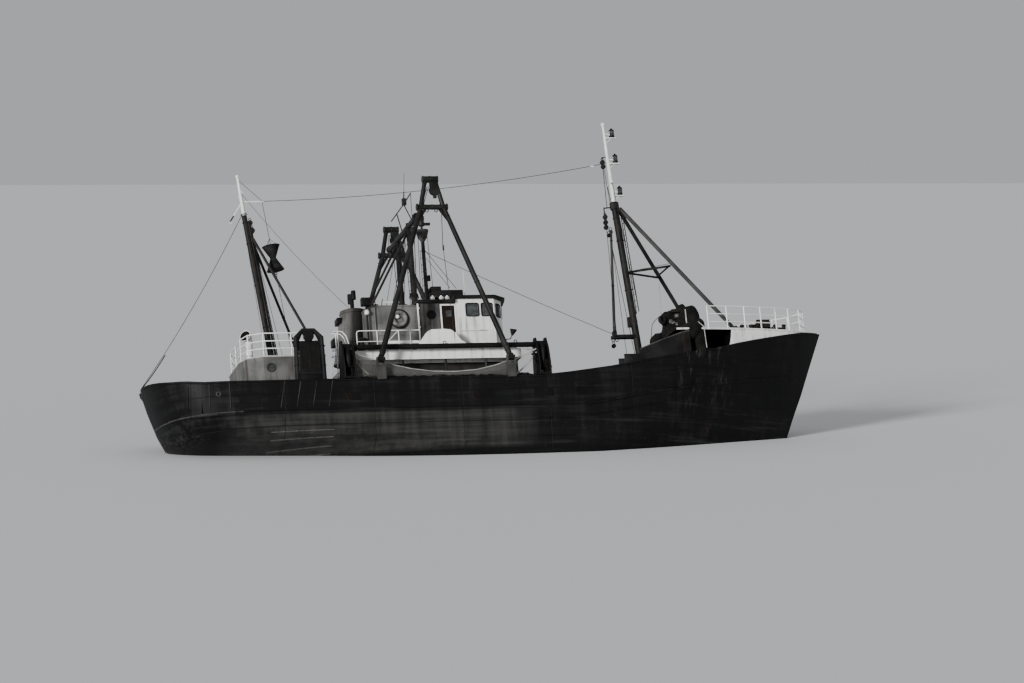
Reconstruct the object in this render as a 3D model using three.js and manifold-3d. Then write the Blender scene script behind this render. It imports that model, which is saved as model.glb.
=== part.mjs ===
// Side beam trawler, afloat. Frame: +X to the bow, +Y to port, +Z up, origin amidships at the waterline.
// The ship's lines are drawn in metres and turned into millimetres as each mesh is made.
import * as THREE from 'three';
import Module from 'manifold-3d';
import { mergeVertices } from 'three/addons/utils/BufferGeometryUtils.js';

const wasm = await Module();
wasm.setup();

const MM = 1000;
const GAP = 0.0004;
const PLATE = 0.07;
const DECK_Z = 0.8;
const KEEL_Z = -2.6;
const STERN_X = -14.42;
const STEM_X = 15.23;
const BOAT_DECK_Z = 3.3;
const BOAT_DECK_UNDER_Z = 2.9;
const HOUSE_TOP_Z = 5.6;
const HOUSE_STEP = { x: -1.46, wallTopZ: 5.44, roofTopZ: 5.55 };
const AFT_HOUSE_TOP_Z = 3.25;
const WHALEBACK_SLOPE = 0.05;
const WHALEBACK_Z0 = 4.0;
const DERRICK_PIN = { y: 3.45, z: 2.75, radius: 0.05 };
const DERRICK_FEET_X = [-5.13, 0.3];
const RUDDER_TRUNK_Z = -0.85;
const SHAFT_BOSS_X = -11.3;
const SHAFT_Z = -1.72;

const STEM_LINE = [
  [-2.6, 11.2], [-2.2, 12.0], [-1.5, 12.65], [-0.9, 12.95], [-0.1, 13.3], [0.63, 13.62],
  [1.51, 14.04], [2.38, 14.41], [3.27, 14.79], [4.29, 15.23],
];
const STERN_LINE = [
  [-2.6, -11.2], [-0.9, -11.25], [-0.1, -13.5], [0.63, -13.84], [1.11, -14.0], [1.63, -14.18],
  [2.5, -14.42],
];
const RAIL_LINE = [
  [-14.42, 2.45], [-13.6, 2.2], [-12.4, 2.0], [-10.0, 1.95], [2.1, 1.96], [3.5, 2.08], [5.3, 2.3],
  [7.4, 2.68], [9.9, 3.14], [11.4, 3.53], [13.1, 3.93], [14.3, 4.2], [15.23, 4.29],
];
const DECK_LINE = [
  [-14.42, 0.95], [-12.93, 0.8], [4.02, 0.8], [6.9, 1.28], [9.9, 1.75], [15.23, 2.5],
];

// Half breadths of the hull at each level, along the hull from the stern (u 0) to the stem (u 1).
const LINES = [
  { u: 0.0, keel: 0.1, low: 0.1, bilge: 0.1, turn: 0.12, water: 0.05, deck: 0.05, rail: 0.05 },
  { u: 0.006, keel: 0.1, low: 0.1, bilge: 0.12, turn: 0.16, water: 0.75, deck: 0.95, rail: 1.05 },
  { u: 0.016, keel: 0.1, low: 0.1, bilge: 0.14, turn: 0.22, water: 1.2, deck: 1.6, rail: 1.75 },
  { u: 0.03, keel: 0.1, low: 0.11, bilge: 0.18, turn: 0.32, water: 1.65, deck: 2.2, rail: 2.35 },
  { u: 0.05, keel: 0.1, low: 0.12, bilge: 0.26, turn: 0.5, water: 2.1, deck: 2.7, rail: 2.85 },
  { u: 0.08, keel: 0.1, low: 0.15, bilge: 0.45, turn: 0.85, water: 2.55, deck: 3.05, rail: 3.15 },
  { u: 0.12, keel: 0.11, low: 0.25, bilge: 0.85, turn: 1.4, water: 2.9, deck: 3.25, rail: 3.32 },
  { u: 0.18, keel: 0.13, low: 0.5, bilge: 1.5, turn: 2.15, water: 3.2, deck: 3.38, rail: 3.4 },
  { u: 0.27, keel: 0.2, low: 1.1, bilge: 2.3, turn: 2.85, water: 3.36, deck: 3.4, rail: 3.4 },
  { u: 0.38, keel: 0.35, low: 1.9, bilge: 2.9, turn: 3.2, water: 3.4, deck: 3.4, rail: 3.4 },
  { u: 0.5, keel: 0.5, low: 2.2, bilge: 3.05, turn: 3.3, water: 3.4, deck: 3.4, rail: 3.4 },
  { u: 0.5572, keel: 0.48, low: 2.07, bilge: 2.98, turn: 3.25, water: 3.38, deck: 3.4, rail: 3.4 },
  { u: 0.622, keel: 0.43, low: 1.85, bilge: 2.9, turn: 3.2, water: 3.36, deck: 3.4, rail: 3.4 },
  { u: 0.68, keel: 0.3, low: 1.4, bilge: 2.4, turn: 2.85, water: 3.15, deck: 3.3, rail: 3.34 },
  { u: 0.76, keel: 0.18, low: 0.8, bilge: 1.7, turn: 2.2, water: 2.65, deck: 2.95, rail: 3.05 },
  { u: 0.84, keel: 0.12, low: 0.4, bilge: 0.95, turn: 1.4, water: 1.85, deck: 2.25, rail: 2.45 },
  { u: 0.91, keel: 0.1, low: 0.2, bilge: 0.45, turn: 0.7, water: 1.05, deck: 1.45, rail: 1.65 },
  { u: 0.96, keel: 0.09, low: 0.12, bilge: 0.2, turn: 0.3, water: 0.5, deck: 0.78, rail: 0.92 },
  { u: 0.985, keel: 0.07, low: 0.08, bilge: 0.1, turn: 0.13, water: 0.2, deck: 0.36, rail: 0.42 },
  { u: 1.0, keel: 0.05, low: 0.05, bilge: 0.05, turn: 0.05, water: 0.05, deck: 0.06, rail: 0.07 },
];
const FIXED_LEVELS = [
  { name: 'keel', z: -2.6 }, { name: 'low', z: -2.2 }, { name: 'bilge', z: -1.5 },
  { name: 'turn', z: -0.9 }, { name: 'water', z: -0.1 },
];

function along(table, t) {
  if (t <= table[0][0]) return table[0][1];
  for (let i = 1; i < table.length; i += 1) {
    const [a, va] = table[i - 1];
    const [b, vb] = table[i];
    if (t <= b) return va + (vb - va) * (t - a) / (b - a);
  }
  return table[table.length - 1][1];
}

const railZ = (x) => along(RAIL_LINE, x);
const deckZ = (x) => along(DECK_LINE, x);
const whalebackZ = (x) => WHALEBACK_Z0 + WHALEBACK_SLOPE * (x - 9);
const atLength = (u, z) => {
  const aft = along(STERN_LINE, z);
  return aft + (along(STEM_LINE, z) - aft) * u;
};
const lengthwise = (x) => (x - STERN_X) / (STEM_X - STERN_X);
const breadth = (u, column) => along(LINES.map((row) => [row.u, row[column]]), u);
const railHalf = (x) => breadth(lengthwise(x), 'rail');
// The bulwark's top edge as it is built, one corner at each row of the lines.
const RAIL_TOP = LINES.map(({ u, rail }) => {
  const z = railZ(STERN_X + (STEM_X - STERN_X) * u);
  return { x: atLength(u, z), y: rail, z };
});
const railTopZ = (x) => along(RAIL_TOP.map((p) => [p.x, p.z]), x);
const railTopHalf = (x) => along(RAIL_TOP.map((p) => [p.x, p.y]), x);
const withRailCorners = (xs) => {
  const between = RAIL_TOP.map((p) => p.x).filter((x) => x > xs[0] && x < xs[xs.length - 1]);
  return [...xs, ...between].sort((a, b) => a - b);
};

// Solids

function toSolid(geometry) {
  const bare = new THREE.BufferGeometry();
  bare.setAttribute('position', geometry.getAttribute('position'));
  if (geometry.index) bare.setIndex(geometry.index);
  const merged = mergeVertices(bare, 1e-6);
  const mesh = new wasm.Mesh({
    numProp: 3,
    vertProperties: new Float32Array(merged.getAttribute('position').array),
    triVerts: new Uint32Array(merged.index.array),
  });
  mesh.merge();
  return new wasm.Manifold(mesh);
}

function join(...solids) {
  return solids.flat().reduce((whole, next) => whole.add(next));
}

function box(x0, x1, y0, y1, z0, z1) {
  const geometry = new THREE.BoxGeometry(x1 - x0, y1 - y0, z1 - z0);
  geometry.translate((x0 + x1) / 2, (y0 + y1) / 2, (z0 + z1) / 2);
  return toSolid(geometry);
}

function rod(a, b, radius, sides = 8, topRadius = radius) {
  const from = new THREE.Vector3(...a);
  const to = new THREE.Vector3(...b);
  const geometry = new THREE.CylinderGeometry(topRadius, radius, from.distanceTo(to), sides);
  const turn = new THREE.Quaternion().setFromUnitVectors(
    new THREE.Vector3(0, 1, 0),
    to.clone().sub(from).normalize(),
  );
  geometry.applyQuaternion(turn);
  geometry.translate(...from.add(to).multiplyScalar(0.5).toArray());
  return toSolid(geometry);
}

// A tube with mitred bends through points; the radius may be one number or one for each point.
function bar(points, radius, sides = 8) {
  const at = points.map((point) => new THREE.Vector3(...point));
  const ways = at.map((point, i) => {
    const back = i > 0 ? point.clone().sub(at[i - 1]).normalize() : null;
    const on = i + 1 < at.length ? at[i + 1].clone().sub(point).normalize() : null;
    return (back && on ? back.add(on) : back || on).normalize();
  });
  const first = Math.abs(ways[0].z) > 0.8 ? new THREE.Vector3(1, 0, 0) : new THREE.Vector3(0, 0, 1);
  let across = first.cross(ways[0]).normalize();
  const positions = [];
  at.forEach((point, i) => {
    across = across.clone().addScaledVector(ways[i], -across.dot(ways[i])).normalize();
    const up = ways[i].clone().cross(across);
    const size = Array.isArray(radius) ? radius[i] : radius;
    for (let k = 0; k < sides; k += 1) {
      const turn = (k / sides) * 2 * Math.PI;
      const spot = point.clone().addScaledVector(across, size * Math.cos(turn));
      positions.push(...spot.addScaledVector(up, size * Math.sin(turn)).toArray());
    }
  });
  const faces = [];
  for (let i = 0; i + 1 < at.length; i += 1) {
    for (let k = 0; k < sides; k += 1) {
      const a = i * sides + k;
      const b = i * sides + ((k + 1) % sides);
      faces.push(a, b, b + sides, a, b + sides, a + sides);
    }
  }
  const last = (at.length - 1) * sides;
  for (let k = 1; k + 1 < sides; k += 1) {
    faces.push(0, k + 1, k, last, last + k, last + k + 1);
  }
  return facesOut(positions, faces);
}

// Outline points are [x, y] in plan; the prism stands from z0 to z1.
function prism(outline, z0, z1) {
  const shape = new THREE.Shape(outline.map(([x, y]) => new THREE.Vector2(x, y)));
  const geometry = new THREE.ExtrudeGeometry(shape, { depth: z1 - z0, bevelEnabled: false });
  geometry.translate(0, 0, z0);
  return toSolid(geometry);
}

// Outline points are [y, z]; the plate stands from x0 to x1.
function crossPlate(outline, x0, x1) {
  const solid = prism(outline, x0, x1);
  return solid.transform([0, 1, 0, 0, 0, 0, 1, 0, 1, 0, 0, 0, 0, 0, 0, 1]);
}

// A standing plate along stations {x, y, z0, z1}, thickened towards the middle of the ship.
function standing(stations, thickness, side) {
  const normals = stations.map((station, i) => {
    const before = stations[Math.max(i - 1, 0)];
    const after = stations[Math.min(i + 1, stations.length - 1)];
    const tangent = new THREE.Vector2(after.x - before.x, after.y - before.y).normalize();
    return { x: -side * tangent.y, y: side * tangent.x };
  });
  const positions = [];
  stations.forEach(({ x, y, z0, z1, flat }, i) => {
    const n = flat || normals[i];
    let innerY = y + n.y * thickness;
    if (side * innerY < GAP) innerY = side * GAP;
    positions.push(x, y, z0, x, y, z1);
    positions.push(x + n.x * thickness, innerY, z1, x + n.x * thickness, innerY, z0);
  });
  const faces = [];
  const quad = (a, b, c, d) => faces.push(a, b, c, a, c, d);
  for (let i = 0; i + 1 < stations.length; i += 1) {
    for (let k = 0; k < 4; k += 1) {
      const a = i * 4 + k;
      const b = i * 4 + ((k + 1) % 4);
      quad(a, b, b + 4, a + 4);
    }
  }
  const last = (stations.length - 1) * 4;
  quad(3, 2, 1, 0);
  quad(last, last + 1, last + 2, last + 3);
  return facesOut(positions, faces);
}

function facesOut(positions, faces) {
  const build = (triangles) => {
    const geometry = new THREE.BufferGeometry();
    geometry.setAttribute('position', new THREE.Float32BufferAttribute(positions, 3));
    geometry.setIndex(triangles);
    return toSolid(geometry);
  };
  const solid = build(faces);
  if (solid.volume() > 0) return solid;
  const turned = [];
  for (let i = 0; i < faces.length; i += 3) turned.push(faces[i], faces[i + 2], faces[i + 1]);
  return build(turned);
}

function cutBelow(solid, z) {
  return solid.trimByPlane([0, 0, 1], z);
}

// Cuts away what is below the sloping whaleback deck.
function onWhaleback(solid) {
  const slope = new THREE.Vector3(-WHALEBACK_SLOPE, 0, 1).normalize();
  const point = new THREE.Vector3(9, 0, WHALEBACK_Z0 + GAP);
  return solid.trimByPlane(slope.toArray(), slope.dot(point));
}

function largest(solid) {
  return solid.decompose().sort((a, b) => b.volume() - a.volume())[0];
}

function lump(x, y, z, rx, ry, rz, detail = 1) {
  const geometry = new THREE.IcosahedronGeometry(1, detail);
  geometry.scale(rx, ry, rz);
  geometry.translate(x, y, z);
  return toSolid(geometry);
}

const group = new THREE.Group();

function add(name, solid, color, roughness = 0.7, metalness = 0) {
  const mesh = solid.getMesh();
  const geometry = new THREE.BufferGeometry();
  const positions = Float32Array.from(mesh.vertProperties, (value) => value * MM);
  geometry.setAttribute('position', new THREE.BufferAttribute(positions, 3));
  geometry.setIndex(new THREE.BufferAttribute(mesh.triVerts, 1));
  geometry.computeVertexNormals();
  const material = new THREE.MeshStandardMaterial({ color, roughness, metalness });
  const node = new THREE.Mesh(geometry, material);
  node.name = name;
  group.add(node);
}

// Hull and bulwarks

function hullSection(u) {
  const reference = STERN_X + (STEM_X - STERN_X) * u;
  const deck = deckZ(reference);
  const half = (z) => {
    const water = breadth(u, 'water');
    return water + (breadth(u, 'deck') - water) * (z + 0.1) / (deck + 0.1);
  };
  const rings = FIXED_LEVELS.map(({ name, z }) => ({ z, half: breadth(u, name) }));
  const proud = u > 0 && u < 1 ? 0.06 : 0.02;
  rings.push({ z: deck - 0.24, half: half(deck - 0.24) });
  rings.push({ z: deck - 0.2, half: half(deck - 0.2) + proud });
  rings.push({ z: deck - 0.05, half: half(deck - 0.05) + proud });
  rings.push({ z: deck, half: half(deck) });
  return rings.map(({ z, half: y }) => ({ x: atLength(u, z), y, z }));
}

function hullBody() {
  const sections = LINES.map(({ u }) => hullSection(u));
  const levels = sections[0].length;
  const ring = 2 * levels;
  const positions = [];
  sections.forEach((section) => {
    section.forEach(({ x, y, z }) => positions.push(x, -y, z));
    [...section].reverse().forEach(({ x, y, z }) => positions.push(x, y, z));
  });
  const faces = [];
  const quad = (a, b, c, d) => faces.push(a, b, c, a, c, d);
  for (let i = 0; i + 1 < sections.length; i += 1) {
    for (let k = 0; k < ring; k += 1) {
      const a = i * ring + k;
      const b = i * ring + ((k + 1) % ring);
      quad(a, b, b + ring, a + ring);
    }
  }
  const last = (sections.length - 1) * ring;
  for (let k = 0; k + 1 < levels; k += 1) {
    quad(k, ring - 1 - k, ring - 2 - k, k + 1);
    quad(last + k, last + k + 1, last + ring - 2 - k, last + ring - 1 - k);
  }
  return facesOut(positions, faces);
}

function hull() {
  const keel = box(-13.05, 10.8, -0.09, 0.09, -2.78, -2.55);
  const rudderTrunk = rod([-12.6, 0, RUDDER_TRUNK_Z], [-12.6, 0, 0], 0.11, 12);
  const shaftBoss = rod([SHAFT_BOSS_X, 0, SHAFT_Z], [-10.4, 0, SHAFT_Z], 0.16, 14);
  const mastStep = box(6.85, 7.45, -0.3, 0.3, 1.0, 1.6);
  const coamingOut = box(4.2, 5.6, -0.8, 0.8, 0.8, 1.5);
  const coamingIn = box(4.27, 5.53, -0.73, 0.73, 1.15, 1.6);
  return join(hullBody(), keel, rudderTrunk, shaftBoss, mastStep, coamingOut).subtract(coamingIn);
}

function bulwark(side) {
  const stations = LINES.map(({ u, deck, rail }) => {
    const reference = STERN_X + (STEM_X - STERN_X) * u;
    const z0 = deckZ(reference) + GAP;
    const z1 = railZ(reference);
    return { u, z0, z1, deck, rail };
  });
  const positions = [];
  const rows = stations.map(({ u, z0, z1, deck, rail }) => [
    { x: atLength(u, z0), y: deck, z: z0 },
    { x: atLength(u, z1), y: rail, z: z1 },
  ]);
  rows.forEach((row, i) => {
    const outer = row.map((p) => ({ ...p }));
    const inner = row.map((p, k) => {
      const before = rows[Math.max(i - 1, 0)][k];
      const after = rows[Math.min(i + 1, rows.length - 1)][k];
      const tangent = new THREE.Vector2(after.x - before.x, after.y - before.y).normalize();
      const x = p.x + tangent.y * PLATE;
      const y = Math.max(p.y - tangent.x * PLATE, GAP + 0.002);
      return { x, y, z: p.z };
    });
    if (i === 0) {
      outer.forEach((p) => { p.y = GAP; });
      inner.forEach((p, k) => { p.x = outer[k].x + PLATE; p.y = GAP; });
    }
    if (i === rows.length - 1) {
      inner.forEach((p, k) => { p.x = outer[k].x - 0.15; p.y = GAP + 0.01; });
    }
    [outer[0], outer[1], inner[1], inner[0]].forEach((p) => positions.push(p.x, side * p.y, p.z));
  });
  const faces = [];
  const quad = (a, b, c, d) => faces.push(a, b, c, a, c, d);
  for (let i = 0; i + 1 < rows.length; i += 1) {
    for (let k = 0; k < 4; k += 1) {
      const a = i * 4 + k;
      const b = i * 4 + ((k + 1) % 4);
      quad(a, b, b + 4, a + 4);
    }
  }
  const last = (rows.length - 1) * 4;
  quad(3, 2, 1, 0);
  quad(last, last + 1, last + 2, last + 3);
  const wall = facesOut(positions, faces);
  return join(wall, DERRICK_FEET_X.map((x) => derrickHeel(x, side)));
}

// Stub on the rail with two cheeks and a pin that one derrick leg turns on.
function derrickHeel(x, side) {
  const y = side * DERRICK_PIN.y;
  const y0 = Math.min(side * (DERRICK_PIN.y - 0.08), side * (DERRICK_PIN.y + 0.08));
  const y1 = y0 + 0.16;
  const stub = box(x - 0.18, x + 0.18, Math.min(side * 3.345, side * 3.53),
    Math.max(side * 3.345, side * 3.53), 1.9, 2.5);
  const cheeks = [-1, 1].map((end) => {
    const middle = x + end * 0.15;
    return join(
      box(middle - 0.03, middle + 0.03, y0, y1, 2.4, DERRICK_PIN.z),
      rod([middle - 0.03, y, DERRICK_PIN.z], [middle + 0.03, y, DERRICK_PIN.z], 0.08, 16),
    );
  });
  const pin = rod([x - 0.19, y, DERRICK_PIN.z], [x + 0.19, y, DERRICK_PIN.z], DERRICK_PIN.radius, 24);
  return join(stub, cheeks, pin);
}

// Raised plate on the rail between the fore deck and the whaleback.
function screen(side) {
  const tops = [[5.95, 3.02], [6.9, 3.4], [7.85, 3.74], [8.3, 3.86]];
  const stations = withRailCorners(tops.map(([x]) => x)).map((x) => ({
    x, y: side * (railTopHalf(x) - 0.005), z0: railTopZ(x) + GAP, z1: along(tops, x),
  }));
  return standing(stations, 0.05, side);
}

// Whaleback

function whalebackSide(side) {
  const rows = withRailCorners([9.9, 10.35, 11.2, 12.0, 12.8, 13.5, 14.1, 14.5]);
  const stations = rows.map((x, i) => ({
    x,
    y: side * (railTopHalf(x) - 0.014),
    z0: railTopZ(x) - 0.01,
    z1: i === 0 ? railTopZ(x) + 0.25 : whalebackZ(x) - 0.02,
  }));
  const plate = standing(stations.filter(({ z0, z1 }) => z1 > z0 + 0.01), 0.035, side);
  const seat = bulwark(side).translate(0, 0, GAP);
  const seats = [0, -0.009, 0.009].map((shift) => seat.translate(0, shift, 0));
  return largest(plate.subtract(join(seats)));
}

function whaleback() {
  const aft = 7.7;
  const rows = [aft, 8.6, 9.9, 10.8, 11.6, 12.4, 13.1, 13.7, 14.2, 14.5];
  const edge = rows.map((x) => [x, railHalf(x) - 0.02]);
  const outline = [...edge.map(([x, y]) => [x, -y]), ...edge.reverse()];
  const flat = prism(outline, 3.5, 5.0);
  const slope = new THREE.Vector3(-WHALEBACK_SLOPE, 0, 1).normalize();
  const top = slope.dot(new THREE.Vector3(9, 0, WHALEBACK_Z0));
  const plate = flat.trimByPlane(slope.toArray(), top - 0.05)
    .trimByPlane(slope.clone().negate().toArray(), -top);
  return join(plate, whalebackSide(-1), whalebackSide(1));
}

function windlass() {
  const bed = box(12.1, 13.0, -0.6, 0.6, 4.0, 4.35);
  const drum = rod([12.55, -0.75, 4.62], [12.55, 0.75, 4.62], 0.2, 12);
  const cheeks = [-0.45, 0.4].map((y) => box(12.25, 12.85, y, y + 0.08, 4.2, 4.9));
  const stopper = box(13.35, 13.6, -0.12, 0.12, 4.0, 4.62);
  const base = box(12.9, 13.6, -0.12, 0.12, 4.0, 4.3);
  return onWhaleback(join(bed, drum, cheeks, stopper, base));
}

function bowRail(side) {
  const posts = [9.3, 10.25, 11.15, 12.0, 12.8, 13.5, 14.1];
  const rise = [0.32, 0.66, 1.0];
  const at = (x, up) => [x, side * (railHalf(x) - 0.17), whalebackZ(x) + up];
  const uprights = posts.map((x) => rod(at(x, -0.05), at(x, 1.0), 0.026, 4));
  const tip = (up) => [14.5, side * 0.12, whalebackZ(14.5) + up];
  const bars = rise.map((up) => bar([...posts.map((x) => at(x, up)), tip(up)], 0.022, 4));
  const last = rod(tip(-0.05), tip(1.0), 0.026, 4);
  return onWhaleback(join(uprights, bars, last));
}

function gearHeap() {
  return onWhaleback(join(
    lump(8.75, -0.15, 4.35, 0.85, 1.0, 0.75),
    lump(8.15, 0.5, 4.2, 0.55, 0.7, 0.55),
    lump(9.1, 0.4, 4.7, 0.5, 0.55, 0.75),
    lump(8.9, -0.5, 5.0, 0.36, 0.4, 0.6),
  ));
}

// Superstructure

function lowerHouse() {
  const outer = box(-5.6, 0.6, -1.75, 1.75, DECK_Z + GAP, BOAT_DECK_UNDER_Z - GAP);
  const inner = box(-5.53, 0.53, -1.68, 1.68, DECK_Z - 0.1, BOAT_DECK_UNDER_Z - 0.08);
  const portholes = [];
  [-4.7, -3.3, -0.9].forEach((x) => {
    portholes.push(rod([x, -2, 2.1], [x, 2, 2.1], 0.15, 10));
  });
  const doorways = [-1, 1].map((side) => {
    const y0 = Math.min(side * 1.5, side * 2);
    return box(-2.6, -1.95, y0, y0 + 0.5, DECK_Z + 0.2, 2.7);
  });
  const front = [-1.1, 0, 1.1].map((y) => rod([0.3, y, 2.1], [0.9, y, 2.1], 0.15, 10));
  return join(outer).subtract(join(inner, portholes, doorways, front));
}

function boatDeck() {
  const slab = box(-5.95, 1.0, -2.62, 2.62, BOAT_DECK_UNDER_Z, BOAT_DECK_Z);
  const under = box(-5.89, 0.94, -2.56, 2.56, BOAT_DECK_UNDER_Z - 0.1, BOAT_DECK_Z - 0.08);
  const pad = box(-5.7, 0.7, -1.9, 1.9, BOAT_DECK_UNDER_Z, BOAT_DECK_Z - 0.02);
  const posts = [];
  [-5.7, -4.0, -2.2, -0.5, 0.8].forEach((x) => {
    [-2.52, 2.52].forEach((y) => posts.push(rod([x, y, DECK_Z + GAP], [x, y, 3.25], 0.05, 6)));
  });
  return join(slab.subtract(under), pad, posts);
}

const WHEELHOUSE_PLAN = [
  [-3.0, -1.9], [0.2, -1.9], [0.62, -1.45], [0.72, -0.6], [0.72, 0.6], [0.62, 1.45], [0.2, 1.9],
  [-3.0, 1.9],
];
const WHEELHOUSE_INSIDE = [
  [-2.94, -1.84], [0.17, -1.84], [0.565, -1.42], [0.66, -0.58], [0.66, 0.58], [0.565, 1.42],
  [0.17, 1.84], [-2.94, 1.84],
];
const WINDOW_SILL_Z = 4.86;
const WINDOW_HEAD_Z = 5.42;

function windowCutters() {
  const cut = [];
  [[-1.02, -0.46], [-0.36, 0.13]].forEach(([x0, x1]) => {
    cut.push(box(x0, x1, -2.2, -1.6, WINDOW_SILL_Z, WINDOW_HEAD_Z));
    cut.push(box(x0, x1, 1.6, 2.2, WINDOW_SILL_Z, WINDOW_HEAD_Z));
  });
  [[-1.38, -0.72], [-0.54, -0.06], [0.06, 0.54], [0.72, 1.38]].forEach(([y0, y1]) => {
    cut.push(box(0.5, 0.9, y0, y1, WINDOW_SILL_Z, WINDOW_HEAD_Z));
  });
  [-1, 1].forEach((side) => {
    const corner = new THREE.BoxGeometry(0.6, 0.34, WINDOW_HEAD_Z - WINDOW_SILL_Z);
    corner.rotateZ(side * 0.82);
    corner.translate(0.4, side * 1.67, (WINDOW_HEAD_Z + WINDOW_SILL_Z) / 2);
    cut.push(toSolid(corner));
    cut.push(rod([-2.5, side * 1.6, 4.95], [-2.5, side * 2.2, 4.95], 0.14, 16));
  });
  return cut;
}

function wheelhouse() {
  const outer = prism(WHEELHOUSE_PLAN, BOAT_DECK_Z + GAP, HOUSE_TOP_Z);
  const inner = prism(WHEELHOUSE_INSIDE, BOAT_DECK_Z - 0.1, HOUSE_TOP_Z + 0.1);
  const doorway = box(-2.05, -1.48, -2.2, -1.6, BOAT_DECK_Z + 0.18, 5.32);
  const step = box(-3.2, HOUSE_STEP.x, -2.2, 2.2, HOUSE_STEP.wallTopZ, 6);
  return outer.subtract(join(inner, doorway, step, windowCutters()));
}

function wheelhouseDoor() {
  const leaf = box(-2.05 + GAP, -1.49, -1.895, -1.855, BOAT_DECK_Z + 0.19, 5.31);
  const light = box(-1.9, -1.63, -2.0, -1.7, 4.85, 5.15);
  return leaf.subtract(light);
}

function wheelhouseRoof() {
  const { x, wallTopZ, roofTopZ } = HOUSE_STEP;
  const outline = [
    [x - 0.06, -2.02], [0.24, -2.02], [0.78, -1.5], [0.92, -0.62], [0.92, 0.62], [0.78, 1.5],
    [0.24, 2.02], [x - 0.06, 2.02],
  ];
  const fore = prism(outline, HOUSE_TOP_Z + GAP, HOUSE_TOP_Z + 0.12);
  const riser = box(x - 0.06, x - GAP, -2.02, 2.02, wallTopZ + GAP, HOUSE_TOP_Z + 0.12);
  const aft = box(-3.12, x - GAP, -2.02, 2.02, wallTopZ + GAP, roofTopZ);
  return join(fore, riser, aft);
}

function helmConsole() {
  const desk = box(0.02, 0.5, -1.1, 1.1, BOAT_DECK_Z + GAP, 4.3);
  const binnacle = rod([-0.25, 0, BOAT_DECK_Z + GAP], [-0.25, 0, 4.35], 0.12, 12);
  const foot = box(-0.4, 0.1, -0.15, 0.15, BOAT_DECK_Z + GAP, BOAT_DECK_Z + 0.08);
  const wheel = new THREE.TorusGeometry(0.34, 0.022, 5, 14);
  wheel.rotateY(Math.PI / 2);
  wheel.translate(-0.4, 0, 4.2);
  const spokes = [0, Math.PI / 2].map((angle) => {
    const dy = 0.34 * Math.cos(angle);
    const dz = 0.34 * Math.sin(angle);
    return rod([-0.4, -dy, 4.2 - dz], [-0.4, dy, 4.2 + dz], 0.015, 6);
  });
  const hub = rod([-0.43, 0, 4.2], [-0.2, 0, 4.2], 0.04, 8);
  return join(desk, binnacle, foot, toSolid(wheel), spokes, hub);
}

function casing() {
  const body = box(-5.1, -3.0 - 2 * GAP, -1.7, 1.7, BOAT_DECK_Z + GAP, 5.42);
  return body.subtract(funnelShell(0.012));
}

const FUNNEL_FOOT = { x: -5.7, z: BOAT_DECK_Z + GAP, half: [0.62, 0.66] };
const FUNNEL_TOP = { x: -5.38, z: 5.6, half: [0.52, 0.6] };

function funnelSection({ x, half }, factor, margin) {
  return Array.from({ length: 20 }, (_, k) => {
    const angle = (k / 20) * 2 * Math.PI;
    return [
      x + (half[0] * factor + margin) * Math.cos(angle),
      (half[1] * factor + margin) * Math.sin(angle),
    ];
  });
}

function funnelShell(margin) {
  const foot = prism(funnelSection(FUNNEL_FOOT, 1, margin), FUNNEL_FOOT.z, FUNNEL_FOOT.z + 0.01);
  const top = prism(funnelSection(FUNNEL_TOP, 1, margin), FUNNEL_TOP.z - 0.01, FUNNEL_TOP.z);
  return wasm.Manifold.hull([foot, top]);
}

function funnel() {
  const { x } = FUNNEL_TOP;
  const rim = prism(funnelSection(FUNNEL_TOP, 1.05, 0), 5.48, 5.62);
  const hollow = prism(funnelSection(FUNNEL_TOP, 0.9, 0), 5.25, 5.7);
  const pipe = rod([x, 0, 5.1], [x, 0, 6.25], 0.09, 12);
  const silencer = rod([x, -0.42, 6.3], [x, 0.42, 6.3], 0.11, 12);
  return join(join(funnelShell(0), rim).subtract(hollow), pipe, silencer);
}

function aftHouse() {
  const outline = [
    [-7.15, -2.3], [-7.15, 2.3], [-9.7, 2.3], [-10.3, 1.9], [-10.5, 1.2], [-10.5, -1.2],
    [-10.3, -1.9], [-9.7, -2.3],
  ];
  const inner = [
    [-7.22, -2.23], [-7.22, 2.23], [-9.67, 2.23], [-10.24, 1.85], [-10.43, 1.18],
    [-10.43, -1.18], [-10.24, -1.85], [-9.67, -2.23],
  ];
  const portholes = [-9.4, -8.0].map((x) => rod([x, -2.6, 2.75], [x, 2.6, 2.75], 0.15, 10));
  const doorway = box(-10.7, -10.2, -0.35, 0.35, DECK_Z + 0.2, 2.7);
  return prism(outline, DECK_Z + GAP, AFT_HOUSE_TOP_Z)
    .subtract(join(prism(inner, DECK_Z - 0.1, AFT_HOUSE_TOP_Z - 0.07), portholes, doorway));
}

function cowl() {
  const trunk = rod([-10.0, -0.9, AFT_HOUSE_TOP_Z + GAP], [-10.0, -0.9, 4.2], 0.14, 12);
  const head = rod([-9.95, -0.9, 4.24], [-10.28, -0.9, 4.38], 0.17, 12, 0.24);
  const mouth = rod([-10.12, -0.9, 4.312], [-10.4, -0.9, 4.431], 0.13, 12, 0.21);
  return join(trunk, head).subtract(mouth);
}

function aftRail() {
  const z = AFT_HOUSE_TOP_Z;
  const path = [
    [-7.4, -2.2], [-8.5, -2.2], [-9.65, -2.2], [-10.22, -1.85], [-10.4, -1.15], [-10.4, 0],
    [-10.4, 1.15], [-10.22, 1.85], [-9.65, 2.2], [-8.5, 2.2], [-7.4, 2.2],
  ];
  const bars = [0.48, 0.95].map((up) => bar(path.map(([x, y]) => [x, y, z + up]), 0.022, 4));
  const posts = path.map(([x, y]) => rod([x, y, z + GAP], [x, y, z + 0.96], 0.026, 4));
  return join(bars, posts);
}

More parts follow.
